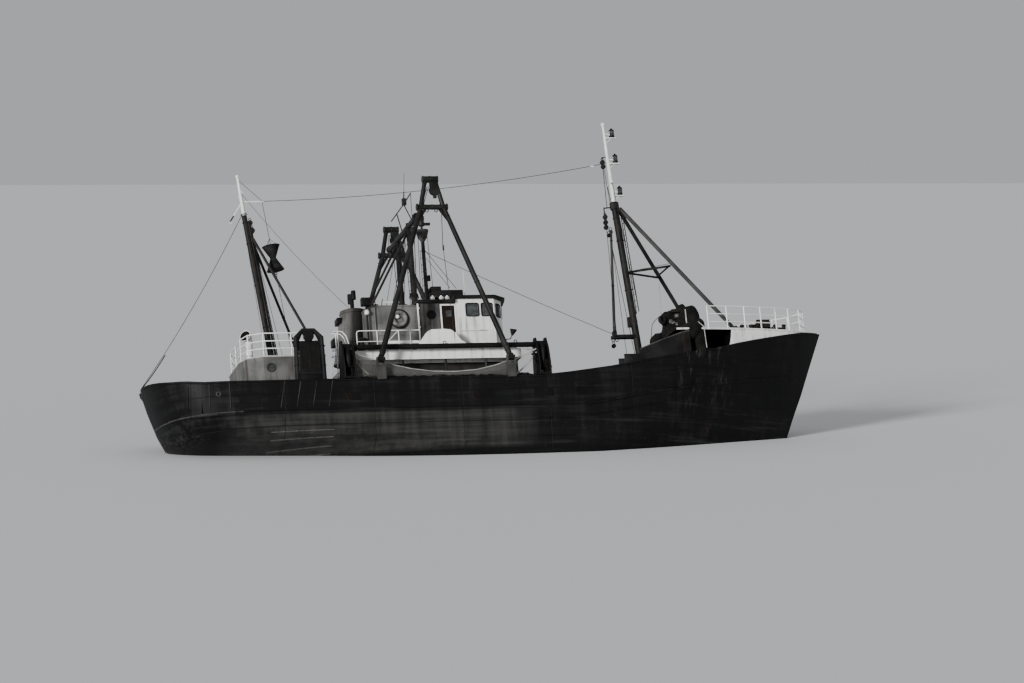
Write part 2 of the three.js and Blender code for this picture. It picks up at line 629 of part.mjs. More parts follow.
function boatRail(side) {
  const z = BOAT_DECK_Z;
  const y = side * 2.54;
  const xs = [-5.85, -5.0, -4.1, -3.62];
  const bars = [0.4, 0.85].map((up) => rod([-5.85, y, z + up], [-3.62, y, z + up], 0.022, 4));
  const posts = xs.map((x) => rod([x, y, z + GAP], [x, y, z + 0.86], 0.026, 4));
  return join(bars, posts);
}

// Masts, gantry and booms

const FORE_MAST = { heel: [7.11, 0, 1.6], hounds: [6.45, 0, 10.21], truck: [6.27, 0, 13.8] };
const BOOM_PIN = { x: 5.94, z: 4.53, radius: 0.03 };
const DAYSHAPE_ARM_Z = 10.38;
const AFT_MAST = { heel: [-8.86, 0, 3.25], hounds: [-9.7, 0, 9.8], truck: [-9.89, 0, 11.5] };

function mastPoint(mast, z) {
  const [x0, , z0] = z < mast.hounds[2] ? mast.heel : mast.hounds;
  const [x1, , z1] = z < mast.hounds[2] ? mast.hounds : mast.truck;
  return x0 + (x1 - x0) * (z - z0) / (z1 - z0);
}

function foreMast() {
  const low = [7.155, 0, 1.1];
  const tube = rod(low, FORE_MAST.hounds, 0.16, 16, 0.14);
  const pole = rod([6.46, 0, 10.1], FORE_MAST.truck, 0.1, 12, 0.05);
  const ball = lump(6.27, 0, 13.83, 0.1, 0.1, 0.1, 0);
  const collar = rod([6.47, 0, 10.0], [6.445, 0, 10.3], 0.2, 12);
  const braceZ = 7.17;
  const middle = [mastPoint(FORE_MAST, braceZ), 0, braceZ];
  const braces = [-1, 1].map((side) => rod(middle, [8.42, side * 0.94, 7.2], 0.05, 8));
  const tie = rod([8.36, -0.95, 7.195], [8.36, 0.95, 7.195], 0.04, 8);
  const brackets = [13.4, 12.25, 10.8].map((z) => {
    const x = mastPoint(FORE_MAST, z);
    return join(rod([x, 0, z], [x + 0.32, 0, z], 0.03, 6), rod([x + 0.32, 0, z - 0.1],
      [x + 0.32, 0, z + 0.12], 0.09, 10));
  });
  const arm = rod([6.35, -0.35, 11.15], [6.35, 0.35, 11.15], 0.035, 8);
  const shelfZ = 4.48;
  const shelfX = mastPoint(FORE_MAST, shelfZ);
  const shelf = box(5.82, shelfX, -0.11, 0.11, shelfZ - 0.2, shelfZ - 0.08);
  const cheeks = [-0.11, 0.07].map((y) => box(5.86, 6.02, y, y + 0.04, shelfZ - 0.1, 4.6));
  const pin = rod([BOOM_PIN.x, -0.1, BOOM_PIN.z], [BOOM_PIN.x, 0.1, BOOM_PIN.z], BOOM_PIN.radius, 24);
  const whole = join(tube, pole, ball, collar, braces, tie, brackets, arm, shelf, cheeks, pin);
  return cutBelow(whole, FORE_MAST.heel[2] + GAP);
}

function foreStrut(side) {
  const top = [6.66, side * 0.09, 10.02];
  const foot = [10.7, side * 2.02, 4.0];
  return onWhaleback(rod(foot, top, 0.085, 12));
}

function landingBoom() {
  const { x, z, radius } = BOOM_PIN;
  const tube = rod([5.945, 0, 4.57], [6.2, 0, 8.98], 0.07, 12, 0.055);
  const heel = rod([x, -0.065, z], [x, 0.065, z], 0.09, 16);
  const bore = rod([x, -0.2, z], [x, 0.2, z], radius * 1.03, 24);
  const eye = lump(6.2, 0, 9.0, 0.1, 0.06, 0.1, 0);
  return join(tube, heel, eye).subtract(bore);
}

function aftMast() {
  const tube = rod([-8.82, 0, 2.9], AFT_MAST.hounds, 0.13, 14, 0.11);
  const pole = rod([-9.69, 0, 9.7], AFT_MAST.truck, 0.085, 12, 0.05);
  const arm = box(mastPoint(AFT_MAST, 10.4), -8.85, -0.02, 0.02, DAYSHAPE_ARM_Z, DAYSHAPE_ARM_Z + 0.04);
  const yard = rod([mastPoint(AFT_MAST, 10.75), -0.3, 10.75],
    [mastPoint(AFT_MAST, 10.75), 0.3, 10.75], 0.03, 6);
  const gaff = rod([mastPoint(AFT_MAST, 10.2), 0, 10.4], [-10.3, 0, 9.54], 0.03, 8);
  return cutBelow(join(tube, pole, arm, yard, gaff), AFT_HOUSE_TOP_Z + GAP);
}

function aftStrut(side) {
  const strut = rod([-7.0, side * 1.7, 2.9], [-9.4, side * 0.14, 8.75], 0.06, 10);
  return cutBelow(strut, AFT_HOUSE_TOP_Z + GAP);
}

function dayshape() {
  const at = (z) => -8.9 + (10.37 - z) * 0.13;
  const ends = [DAYSHAPE_ARM_Z + 0.02, AFT_HOUSE_TOP_Z - 0.02];
  const rope = rod([at(ends[0]), 0, ends[0]], [at(ends[1]), 0, ends[1]], 0.012, 5);
  const line = cutBelow(rope, AFT_HOUSE_TOP_Z + GAP).trimByPlane([0, 0, -1], -(DAYSHAPE_ARM_Z - GAP));
  const upper = rod([at(8.47), 0, 8.47], [at(7.955), 0, 7.955], 0.37, 14, 0.12);
  const lower = rod([at(7.965), 0, 7.965], [at(7.44), 0, 7.44], 0.12, 14, 0.37);
  return join(line, upper, lower);
}

const GANTRY = { x: -2.98, y: 1.1, barZ: 8.98 };

function gantryPost(side) {
  const { x, y, barZ } = GANTRY;
  const head = [x, side * y, barZ - 0.12 - GAP];
  const post = rod([x, side * y, HOUSE_STEP.roofTopZ + GAP], head, 0.12, 12);
  const strut = rod([-5.02, side * y, 5.2], [x - 0.04, side * y, 8.76], 0.05, 10);
  return join(post, cutBelow(strut, 5.42 + GAP));
}

function gantryBar() {
  const { x, y, barZ } = GANTRY;
  const beam = rod([x, -2.45, barZ], [x, 2.45, barZ], 0.12, 12);
  const seats = [-1, 1].map((side) => (
    rod([x, side * y, barZ - 0.12], [x, side * y, barZ + 0.12], 0.13, 12)
  ));
  return join(beam, seats);
}

function radarMast() {
  const tube = rod([-2.15, 0, HOUSE_STEP.roofTopZ + GAP], [-2.15, 0, 8.9], 0.08, 12);
  const bucket = rod([-2.15, 0, 8.78], [-2.15, 0, 9.12], 0.2, 12, 0.27);
  const stem = rod([-2.15, 0, 9.1], [-2.15, 0, 9.3], 0.05, 10);
  return join(tube, bucket, stem);
}

function radarScanner() {
  const bar = box(-2.5, -1.8, -0.08, 0.08, 9.34, 9.44);
  return join(bar, rod([-2.15, 0, 9.3 + GAP], [-2.15, 0, 9.78], 0.13, 12));
}

// Derricks and trawls

const DERRICK_CROSS = { y: 3.66, z: 9.05, x: [-3.05, -2.1] };

function derrickBeam(side, clearance = 0) {
  const { y, z, x } = DERRICK_CROSS;
  return rod([x[0] - 0.14, side * y, z], [x[1] + 0.14, side * y, z], 0.11 + clearance, 12);
}

function derrickLeg(side, end) {
  const footX = DERRICK_FEET_X[end];
  const y = side * DERRICK_PIN.y;
  const pin = [footX, y, DERRICK_PIN.z];
  const cross = [DERRICK_CROSS.x[end], side * DERRICK_CROSS.y, DERRICK_CROSS.z];
  const from = new THREE.Vector3(...pin);
  const way = new THREE.Vector3(...cross).sub(from);
  way.normalize();
  const start = from.clone().addScaledVector(way, 0.14).toArray();
  const eye = rod([footX - 0.09, y, DERRICK_PIN.z], [footX + 0.09, y, DERRICK_PIN.z], 0.16, 16);
  const bore = rod([footX - 0.2, y, DERRICK_PIN.z], [footX + 0.2, y, DERRICK_PIN.z],
    DERRICK_PIN.radius * 1.017, 24);
  return join(rod(start, cross, 0.12, 12, 0.1), eye).subtract(join(bore, derrickBeam(side, GAP)));
}

function derrickHead(side) {
  const { y, z, x } = DERRICK_CROSS;
  const beam = derrickBeam(side);
  const tops = [-2.8, -2.38];
  const arms = x.map((start, i) => (
    rod([start, side * y, z], [tops[i], side * 3.7, 10.2], 0.1, 12, 0.09)
  ));
  const cap = rod([tops[0] - 0.1, side * 3.7, 10.22], [tops[1] + 0.1, side * 3.7, 10.22], 0.14, 12);
  const sheave = rod([-2.44, side * 3.7 - 0.05, 9.76], [-2.44, side * 3.7 + 0.05, 9.76], 0.19, 16);
  const hanger = box(-2.53, -2.35, side * 3.7 - 0.08, side * 3.7 + 0.08, 9.7, 10.15);
  return join(beam, arms, cap, sheave, hanger);
}

function trawlBeam(side) {
  const beam = rod([-6.35, side * 2.95, 3.36], [1.72, side * 2.95, 3.36], 0.11, 14);
  const shoe = [
    [3.42, 1.9985], [3.42, 2.5], [3.28, 3.15], [3.05, 3.58], [2.8, 3.62], [2.62, 3.4], [2.52, 2.8],
    [2.45, 2.25], [2.45, 1.9985],
  ].map(([y, z]) => [side * y, z]);
  if (side > 0) shoe.reverse();
  const plates = [[-6.65, -6.59], [-6.21, -6.15], [1.5, 1.56], [1.94, 2.0]].map(([x0, x1]) => (
    crossPlate(shoe, x0, x1)
  ));
  const soles = [[-6.65, -6.15], [1.5, 2.0]].map(([x0, x1]) => box(
    x0, x1, Math.min(side * 3.42, side * 2.45), Math.max(side * 3.42, side * 2.45), 1.9985, 2.08,
  ));
  const stub = [[-6.65, -6.15], [1.5, 2.0]].map(([x0, x1]) => (
    rod([x0, side * 2.95, 3.36], [x1, side * 2.95, 3.36], 0.14, 12)
  ));
  return join(beam, plates, soles, stub);
}

function net(side) {
  const rows = [
    { x: -6.15 + GAP, z: 3.0, r: 0.1 }, { x: -5.85, z: 3.0, r: 0.1 }, { x: -5.3, z: 2.75, r: 0.16 }, { x: -4.6, z: 2.5, r: 0.2 },
    { x: -3.8, z: 2.33, r: 0.23 }, { x: -2.8, z: 2.23, r: 0.24 }, { x: -1.8, z: 2.24, r: 0.24 },
    { x: -0.9, z: 2.34, r: 0.22 }, { x: -0.1, z: 2.5, r: 0.2 }, { x: 0.6, z: 2.72, r: 0.17 },
    { x: 1.1, z: 2.92, r: 0.14 }, { x: 1.32, z: 3.0, r: 0.1 }, { x: 1.5 - GAP, z: 3.0, r: 0.1 },
  ];
  return bar(rows.map(({ x, z }) => [x, side * 3.06, z]), rows.map(({ r }) => r), 10);
}

function gallows(side) {
  const y = side * 3.14;
  const z = DECK_Z + GAP;
  const frame = bar([
    [-8.55, y, 0.6], [-8.5, y, 3.75], [-8.2, y, 4.05], [-7.75, y, 4.05], [-7.45, y, 3.75], [-7.4, y, 0.6],
  ], 0.1, 10);
  const feet = [-8.55, -7.4].map((x) => box(x - 0.17, x + 0.17, y - 0.14, y + 0.14, z, z + 0.05));
  const sheave = rod([-7.97, y - 0.09, 3.78], [-7.97, y + 0.09, 3.78], 0.2, 16);
  const brace = box(-8.5, -7.42, y - 0.05, y + 0.05, 2.25, 2.35);
  return cutBelow(join(frame, feet, sheave, brace), z);
}

function trawlDoor(side) {
  const y = side * 3.14;
  return box(-8.38, -7.55, y - 0.05, y + 0.05, 2.35 + GAP, 3.4);
}

// Deck machinery, hatch, rudder and propeller

function winchFrame() {
  const z = DECK_Z + GAP;
  const bed = box(1.7, 2.9, -1.35, 1.35, z, 0.98);
  const cheeks = [-1.3, -0.04, 1.22].map((y) => box(1.85, 2.75, y, y + 0.08, 0.9, 1.72));
  const gear = box(1.9, 2.7, 1.42, 1.85, z, 1.7);
  const link = box(1.9, 2.7, 1.3, 1.45, z, 1.1);
  const bores = rod([2.3, -1.4, 1.42], [2.3, 1.4, 1.42], 0.06 * 1.015, 24);
  return join(bed, cheeks, gear, link).subtract(bores);
}

function winchDrum() {
  const shaft = rod([2.3, -1.55, 1.42], [2.3, 1.4, 1.42], 0.06, 24);
  const flanges = [-1.18, -0.14, 0.08, 1.1].map((y) => (
    rod([2.3, y, 1.42], [2.3, y + 0.06, 1.42], 0.36, 14)
  ));
  const cores = [[-1.18, -0.08], [0.08, 1.16]].map(([y0, y1]) => (
    rod([2.3, y0, 1.42], [2.3, y1, 1.42], 0.22, 12)
  ));
  const warping = rod([2.3, -1.8, 1.42], [2.3, -1.5, 1.42], 0.15, 14, 0.13);
  return join(shaft, flanges, cores, warping);
}

function hatchCover() {
  return box(4.17, 5.63, -0.83, 0.83, 1.5 + GAP, 1.58);
}

function rudder() {
  const blade = [
    [-13.3, -0.02], [-12.75, -0.07], [-12.45, -0.06], [-12.3, 0], [-12.45, 0.06], [-12.75, 0.07],
    [-13.3, 0.02],
  ];
  const stock = rod([-12.6, 0, -1.2], [-12.6, 0, RUDDER_TRUNK_Z - GAP], 0.07, 12);
  const pintle = rod([-12.6, 0, -2.55 + GAP], [-12.6, 0, -2.3], 0.05, 12);
  return join(prism(blade, -2.45, -0.9), stock, pintle);
}

function propeller() {
  const hub = rod([-11.87, 0, SHAFT_Z], [SHAFT_BOSS_X - GAP, 0, SHAFT_Z], 0.1, 14, 0.14);
  const blade = new THREE.SphereGeometry(1, 7, 5);
  blade.scale(0.035, 0.2, 0.3);
  blade.rotateZ(0.65);
  blade.translate(0, 0, 0.36);
  const blades = [0, 1, 2, 3].map((k) => {
    const copy = blade.clone();
    copy.rotateX(k * Math.PI / 2);
    copy.translate(-11.6, 0, SHAFT_Z);
    return toSolid(copy);
  });
  return join(hub, blades);
}

const BLACK = 0x17181a;
const GREY = 0x6f7274;
const WHITE = 0xd9dad6;
const DARK = 0x2a2b2d;
const NET = 0x3b3a37;

add('hull', hull(), BLACK, 0.6);
add('bulwark_starboard', bulwark(-1), BLACK, 0.6);
add('bulwark_port', bulwark(1), BLACK, 0.6);
add('screen_starboard', screen(-1), BLACK, 0.6);
add('screen_port', screen(1), BLACK, 0.6);
add('whaleback', whaleback(), WHITE, 0.6);
add('windlass', windlass(), DARK, 0.7, 0.4);
add('bow_rail_starboard', bowRail(-1), GREY, 0.5, 0.3);
add('bow_rail_port', bowRail(1), GREY, 0.5, 0.3);
add('gear_heap', gearHeap(), NET, 0.95);
add('lower_house', lowerHouse(), WHITE, 0.6);
add('boat_deck', boatDeck(), WHITE, 0.6);
add('wheelhouse', wheelhouse(), WHITE, 0.6);
add('wheelhouse_roof', wheelhouseRoof(), GREY, 0.7);
add('wheelhouse_door', wheelhouseDoor(), 0x5a3a22, 0.5);
add('helm_console', helmConsole(), 0x6b4a2e, 0.6);
add('casing', casing(), GREY, 0.7);
add('funnel', funnel(), GREY, 0.6);
add('aft_house', aftHouse(), GREY, 0.7);
add('cowl_vent', cowl(), WHITE, 0.6);
add('aft_rail', aftRail(), GREY, 0.5, 0.3);
add('boat_rail_starboard', boatRail(-1), WHITE, 0.5, 0.3);
add('boat_rail_port', boatRail(1), WHITE, 0.5, 0.3);
add('foremast', foreMast(), DARK, 0.6, 0.2);
add('foremast_strut_starboard', foreStrut(-1), GREY, 0.6, 0.2);
add('foremast_strut_port', foreStrut(1), GREY, 0.6, 0.2);
add('landing_boom', landingBoom(), GREY, 0.6, 0.2);
add('aft_mast', aftMast(), DARK, 0.6, 0.2);
add('aft_mast_strut_starboard', aftStrut(-1), DARK, 0.6, 0.2);
add('aft_mast_strut_port', aftStrut(1), DARK, 0.6, 0.2);
add('dayshape', dayshape(), BLACK, 0.8);
add('gantry_post_starboard', gantryPost(-1), WHITE, 0.6);
add('gantry_post_port', gantryPost(1), WHITE, 0.6);
add('gantry_bar', gantryBar(), WHITE, 0.6);
add('radar_mast', radarMast(), WHITE, 0.6);
add('radar_scanner', radarScanner(), WHITE, 0.5);
[['starboard', -1], ['port', 1]].forEach(([name, side]) => {
  add(`derrick_leg_aft_${name}`, derrickLeg(side, 0), GREY, 0.6, 0.2);
  add(`derrick_leg_fore_${name}`, derrickLeg(side, 1), GREY, 0.6, 0.2);
  add(`derrick_head_${name}`, derrickHead(side), GREY, 0.6, 0.2);
  add(`trawl_beam_${name}`, trawlBeam(side), DARK, 0.8, 0.3);
  add(`net_${name}`, net(side), NET, 0.95);
  add(`gallows_${name}`, gallows(side), BLACK, 0.7, 0.2);
  add(`trawl_door_${name}`, trawlDoor(side), BLACK, 0.8);
});
add('winch_frame', winchFrame(), DARK, 0.7, 0.3);
add('winch_drum', winchDrum(), DARK, 0.6, 0.4);
add('hatch_cover', hatchCover(), GREY, 0.7);
add('rudder', rudder(), BLACK, 0.7);
add('propeller', propeller(), 0x8a6f3c, 0.4, 0.9);

export default group;
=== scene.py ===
import bmesh
import bpy
import math
import random
from mathutils import Matrix, Vector, noise


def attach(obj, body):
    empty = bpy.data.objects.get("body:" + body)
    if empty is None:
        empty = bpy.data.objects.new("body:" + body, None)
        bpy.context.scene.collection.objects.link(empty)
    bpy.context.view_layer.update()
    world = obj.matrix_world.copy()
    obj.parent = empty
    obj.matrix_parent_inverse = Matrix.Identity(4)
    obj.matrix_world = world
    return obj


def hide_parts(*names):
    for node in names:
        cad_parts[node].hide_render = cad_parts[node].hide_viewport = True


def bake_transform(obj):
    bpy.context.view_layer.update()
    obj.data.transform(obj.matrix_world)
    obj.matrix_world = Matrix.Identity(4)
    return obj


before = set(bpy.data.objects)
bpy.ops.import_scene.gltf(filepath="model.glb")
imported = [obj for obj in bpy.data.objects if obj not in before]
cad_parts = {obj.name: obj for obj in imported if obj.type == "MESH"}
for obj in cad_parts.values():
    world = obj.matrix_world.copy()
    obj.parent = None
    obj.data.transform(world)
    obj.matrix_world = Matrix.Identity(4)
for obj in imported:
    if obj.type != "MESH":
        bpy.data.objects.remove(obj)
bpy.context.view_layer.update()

# Camera. The vessel lies over to port, away from the camera, which stands a little aft of the
# starboard beam with a long lens. The ship's frame stays upright, so the camera takes the heel.

HEEL = math.radians(17.5)
AFT_OF_BEAM = math.radians(15.5)
PITCH = math.radians(3.53)
SHIP_FROM_CAMERA = Vector((-1.0, 119.52, -11.5))
FOCAL_LENGTH, SENSOR_WIDTH = 101.25, 36
UP = Vector((0, 0, 1))


def in_ship(v):
    """A direction given as right, away and up at the camera, turned into the ship's frame."""
    c, s = math.cos(AFT_OF_BEAM), math.sin(AFT_OF_BEAM)
    forward, abeam = Vector((c, s, 0)), Vector((-s, c, 0))
    port = math.cos(HEEL) * abeam - math.sin(HEEL) * UP
    up = math.cos(HEEL) * UP + math.sin(HEEL) * abeam
    return Vector((forward.dot(v), port.dot(v), up.dot(v)))


def add_camera():
    data = bpy.data.cameras.new("camera")
    data.sensor_width = SENSOR_WIDTH
    data.lens = FOCAL_LENGTH
    data.clip_end = 5000
    camera = bpy.data.objects.new("camera", data)
    bpy.context.scene.collection.objects.link(camera)
    right = in_ship(Vector((1, 0, 0)))
    away = in_ship(Vector((0, math.cos(PITCH), -math.sin(PITCH))))
    up = right.cross(away)
    turn = Matrix((right, up, -away)).transposed()
    camera.matrix_world = Matrix.Translation(in_ship(-SHIP_FROM_CAMERA)) @ turn.to_4x4()
    bpy.context.scene.camera = camera


add_camera()


class Wire:
    """A shader output. Arithmetic on it adds Math nodes, and make() adds any other node."""

    def __init__(self, tree, socket=None):
        self.tree = tree
        self.socket = socket

    def make(self, kind, values, output=0, **settings):
        node = self.tree.nodes.new("ShaderNode" + kind)
        for name, value in settings.items():
            setattr(node, name, value)
        for name, value in values.items():
            if isinstance(value, Wire):
                self.tree.links.new(value.socket, node.inputs[name])
            else:
                node.inputs[name].default_value = value
        return Wire(self.tree, node.outputs[output])

    def sum(self, operation, a, b=0.0):
        return self.make("Math", {0: a, 1: b}, operation=operation)

    def __add__(self, other):
        return self.sum("ADD", self, other)

    def __sub__(self, other):
        return self.sum("SUBTRACT", self, other)

    def __rsub__(self, other):
        return self.sum("SUBTRACT", other, self)

    def __mul__(self, other):
        return self.sum("MULTIPLY", self, other)

    def __mod__(self, other):
        return self.sum("FLOORED_MODULO", self, other)

    def __lt__(self, other):
        return self.sum("LESS_THAN", self, other)

    def __gt__(self, other):
        return self.sum("GREATER_THAN", self, other)

    def near(self, place, width):
        """1 where the value is within the width of the place, fading to 0 outside it."""
        away = self.sum("ABSOLUTE", self - place)
        return self.make("MapRange", {"Value": away, "From Min": width * 0.6, "From Max": width,
                                      "To Min": 1.0, "To Max": 0.0})

    def near_any(self, places, width):
        first, *others = (self.near(place, width) for place in places)
        return sum(others, first)

    def ramp(self, low, high, to_low=0.0, to_high=1.0):
        return self.make("MapRange", {"Value": self, "From Min": low, "From Max": high,
                                      "To Min": to_low, "To Max": to_high})

    def blend(self, first, second):
        """Mixes two colours, with this value as the share of the second."""
        values = {0: self}
        for place, colour in ((6, first), (7, second)):
            values[place] = colour if isinstance(colour, Wire) else (*colour, 1)
        return self.make("Mix", values, output=2, data_type="RGBA")

    def noise(self, scale, stretch=(1, 1, 1), detail=4.0, rough=0.55):
        """Noise from 0 to 1 on this vector; a small stretch number draws the pattern out."""
        at = self.make("Mapping", {"Vector": self, "Scale": stretch})
        return self.make("TexNoise", {"Vector": at, "Scale": scale, "Detail": detail,
                                      "Roughness": rough})

    def axes(self):
        parts = self.make("SeparateXYZ", {0: self})
        outputs = parts.socket.node.outputs
        return tuple(Wire(self.tree, outputs[i]) for i in range(3))


def new_material(name):
    """A bare material with its output, and the wire of object coordinates to paint with."""
    material = bpy.data.materials.new(name)
    material.use_nodes = True
    tree = material.node_tree
    tree.nodes.clear()
    return material, Wire(tree).make("TexCoord", {}, output=3)


def lay_on(at, colour, roughness, height=None, strength=0.3, depth=0.01, **fixed):
    """Ends a material in the surface shader. Height is in the unit that depth scales to metres."""
    values = {"Base Color": colour, "Roughness": roughness, "Specular IOR Level": 0.1}
    values.update({name.replace("_", " "): value for name, value in fixed.items()})
    if height is not None:
        values["Normal"] = at.make("Bump", {"Height": height, "Strength": strength,
                                            "Distance": depth})
    shader = at.make("BsdfPrincipled", values)
    output = at.tree.nodes.new("ShaderNodeOutputMaterial")
    at.tree.links.new(shader.socket, output.inputs[0])


# Water and studio. A plain pale floor lies at the water plane of the heeled vessel, so it
# cuts the hull where the photograph's water does. The light is a soft sky and one soft sun.

FLOOR_Z = -0.25
FLOOR_HALF = 1500


def add_floor():
    bm = bmesh.new()
    bmesh.ops.create_grid(bm, x_segments=8, y_segments=8, size=FLOOR_HALF)
    turn = UP.rotation_difference(in_ship(UP)).to_matrix().to_4x4()
    bm.transform(Matrix.Translation((0, 0, FLOOR_Z)) @ turn)
    mesh = bpy.data.meshes.new("floor")
    bm.to_mesh(mesh)
    bm.free()
    floor = bpy.data.objects.new("floor", mesh)
    bpy.context.scene.collection.objects.link(floor)
    material, at = new_material("floor")
    lay_on(at, (0.62, 0.625, 0.63, 1), 0.8)
    mesh.materials.append(material)


def add_light(name, towards, strength, spread):
    """A sun lamp shining towards a direction given at the camera, its spread in degrees."""
    data = bpy.data.lights.new(name, "SUN")
    data.energy = strength
    data.angle = math.radians(spread)
    lamp = bpy.data.objects.new(name, data)
    lamp.rotation_euler = in_ship(Vector(towards)).to_track_quat("-Z", "Y").to_euler()
    bpy.context.scene.collection.objects.link(lamp)


def add_sky():
    world = bpy.data.worlds.new("sky")
    bpy.context.scene.world = world
    world.use_nodes = True
    background = world.node_tree.nodes["Background"]
    background.inputs["Color"].default_value = (0.62, 0.63, 0.65, 1)
    background.inputs["Strength"].default_value = 0.7


add_floor()
add_sky()
add_light("sun", (0.5, 0.78, -0.25), 4.6, 11)
add_light("fill", (-0.6, 0.75, -0.15), 0.35, 40)


# Hull. A welded steel shell with a bar keel, a full round stern and a raked stem, painted black
# down to the boot top. The plates are butt welded, dished between the frames and scuffed.

STERN_X, STEM_X = -14.42, 15.23
KEEL_Z, SHAFT_Z = -2.6, -1.72
STEM_LINE = (
    (KEEL_Z, 11.2), (-2.2, 12.0), (-1.5, 12.65), (-0.9, 12.95), (-0.1, 13.3), (0.63, 13.62),
    (1.51, 14.04), (2.38, 14.41), (3.27, 14.79), (4.29, 15.23))
STERN_LINE = (
    (KEEL_Z, -11.2), (-0.9, -11.25), (-0.1, -13.5), (0.63, -13.84), (1.11, -14.0),
    (1.63, -14.18), (2.5, -14.42))
RAIL_LINE = (
    (-14.42, 2.45), (-13.6, 2.2), (-12.4, 2.0), (-10.0, 1.95), (2.1, 1.96), (3.5, 2.08),
    (5.3, 2.3), (7.4, 2.68), (9.9, 3.14), (11.4, 3.53), (13.1, 3.93), (14.3, 4.2),
    (15.23, 4.29))
DECK_LINE = (
    (-14.42, 0.95), (-12.93, 0.8), (4.02, 0.8), (6.9, 1.28), (9.9, 1.75), (15.23, 2.5))
# Share of the length from the stern, then the half breadths at keel, low bilge, bilge, turn,
# water, deck and rail.
HULL_LINES = (
    (0.0, 0.1, 0.1, 0.1, 0.12, 0.05, 0.05, 0.05),
    (0.006, 0.1, 0.1, 0.12, 0.16, 0.75, 0.95, 1.05),
    (0.016, 0.1, 0.1, 0.14, 0.22, 1.2, 1.6, 1.75),
    (0.03, 0.1, 0.11, 0.18, 0.32, 1.65, 2.2, 2.35),
    (0.05, 0.1, 0.12, 0.26, 0.5, 2.1, 2.7, 2.85),
    (0.08, 0.1, 0.15, 0.45, 0.85, 2.55, 3.05, 3.15),
    (0.12, 0.11, 0.25, 0.85, 1.4, 2.9, 3.25, 3.32),
    (0.18, 0.13, 0.5, 1.5, 2.15, 3.2, 3.38, 3.4),
    (0.27, 0.2, 1.1, 2.3, 2.85, 3.36, 3.4, 3.4),
    (0.38, 0.35, 1.9, 2.9, 3.2, 3.4, 3.4, 3.4),
    (0.5, 0.5, 2.2, 3.05, 3.3, 3.4, 3.4, 3.4),
    (0.5572, 0.48, 2.07, 2.98, 3.25, 3.38, 3.4, 3.4),
    (0.622, 0.43, 1.85, 2.9, 3.2, 3.36, 3.4, 3.4),
    (0.68, 0.3, 1.4, 2.4, 2.85, 3.15, 3.3, 3.34),
    (0.76, 0.18, 0.8, 1.7, 2.2, 2.65, 2.95, 3.05),
    (0.84, 0.12, 0.4, 0.95, 1.4, 1.85, 2.25, 2.45),
    (0.91, 0.1, 0.2, 0.45, 0.7, 1.05, 1.45, 1.65),
    (0.96, 0.09, 0.12, 0.2, 0.3, 0.5, 0.78, 0.92),
    (0.985, 0.07, 0.08, 0.1, 0.13, 0.2, 0.36, 0.42),
    (1.0, 0.05, 0.05, 0.05, 0.05, 0.05, 0.06, 0.07))
HULL_LEVELS = (KEEL_Z, -2.2, -1.5, -0.9, -0.1)
PLATE_SEAMS = (3.05, -1.35, 0.12, 1.42, 2.35)
WORN_RIBS = (-0.08, -0.33, -0.61, -0.83)
PLANK = 0.14


def fair(table, t):
    """A smooth curve through the table's points that never swings past them."""
    if t <= table[0][0]:
        return table[0][1]
    if t >= table[-1][0]:
        return table[-1][1]
    i = next(k for k in range(1, len(table)) if t <= table[k][0])
    rises = [(table[k][1] - table[k - 1][1]) / (table[k][0] - table[k - 1][0])
             for k in (max(i - 1, 1), i, min(i + 1, len(table) - 1))]

    def ease(a, b):
        return 2 * a * b / (a + b) if a * b > 0 else 0.0

    start = rises[1] if i == 1 else ease(rises[0], rises[1])
    end = rises[1] if i == len(table) - 1 else ease(rises[1], rises[2])
    (x0, y0), (x1, y1) = table[i - 1], table[i]
    width = x1 - x0
    s = (t - x0) / width
    return (y0 * (1 + 2 * s) * (1 - s) ** 2 + start * width * s * (1 - s) ** 2
            + y1 * s * s * (3 - 2 * s) + end * width * s * s * (s - 1))


def straight(table, t):
    """The value at t on straight runs between the table's points."""
    for (x0, y0), (x1, y1) in zip(table, table[1:]):
        if t <= x1:
            return y0 + (y1 - y0) * max(t - x0, 0) / (x1 - x0)
    return table[-1][1]


def station(u):
    """Half breadths at share u of the length, as pairs of height and half breadth."""
    columns = [fair([(row[0], row[k]) for row in HULL_LINES], u) for k in range(1, 8)]
    x = STERN_X + (STEM_X - STERN_X) * u
    return list(zip((*HULL_LEVELS, straight(DECK_LINE, x), straight(RAIL_LINE, x)), columns))


def hull_point(u, z, levels=None):
    """The shell's skin at share u of the length and height z, on the port side."""
    aft = straight(STERN_LINE, z)
    x = aft + (straight(STEM_LINE, z) - aft) * u
    return Vector((x, fair(levels or station(u), z), z))


def hull_at(x, z):
    """The skin's half breadth at a length and height in metres."""
    aft = straight(STERN_LINE, z)
    u = (x - aft) / (straight(STEM_LINE, z) - aft)
    return fair(station(min(max(u, 0), 1)), z)


SHARES = sorted({*(round(0.02 * i, 4) for i in range(51)), 0.003, 0.006, 0.01, 0.016, 0.022,
                 0.03, 0.05, 0.07, 0.09, 0.5572, 0.622, 0.97, 0.985, 0.993})


def loft(bm, rows):
    """A skin through rows of points, made from a grid with one corner for each point."""
    across = len(rows[0])
    made = bmesh.ops.create_grid(bm, x_segments=across - 1, y_segments=len(rows) - 1, size=1)
    points = (point for row in rows for point in row)
    for vert, point in zip(made["verts"], points):
        vert.co = point
    return made["verts"]


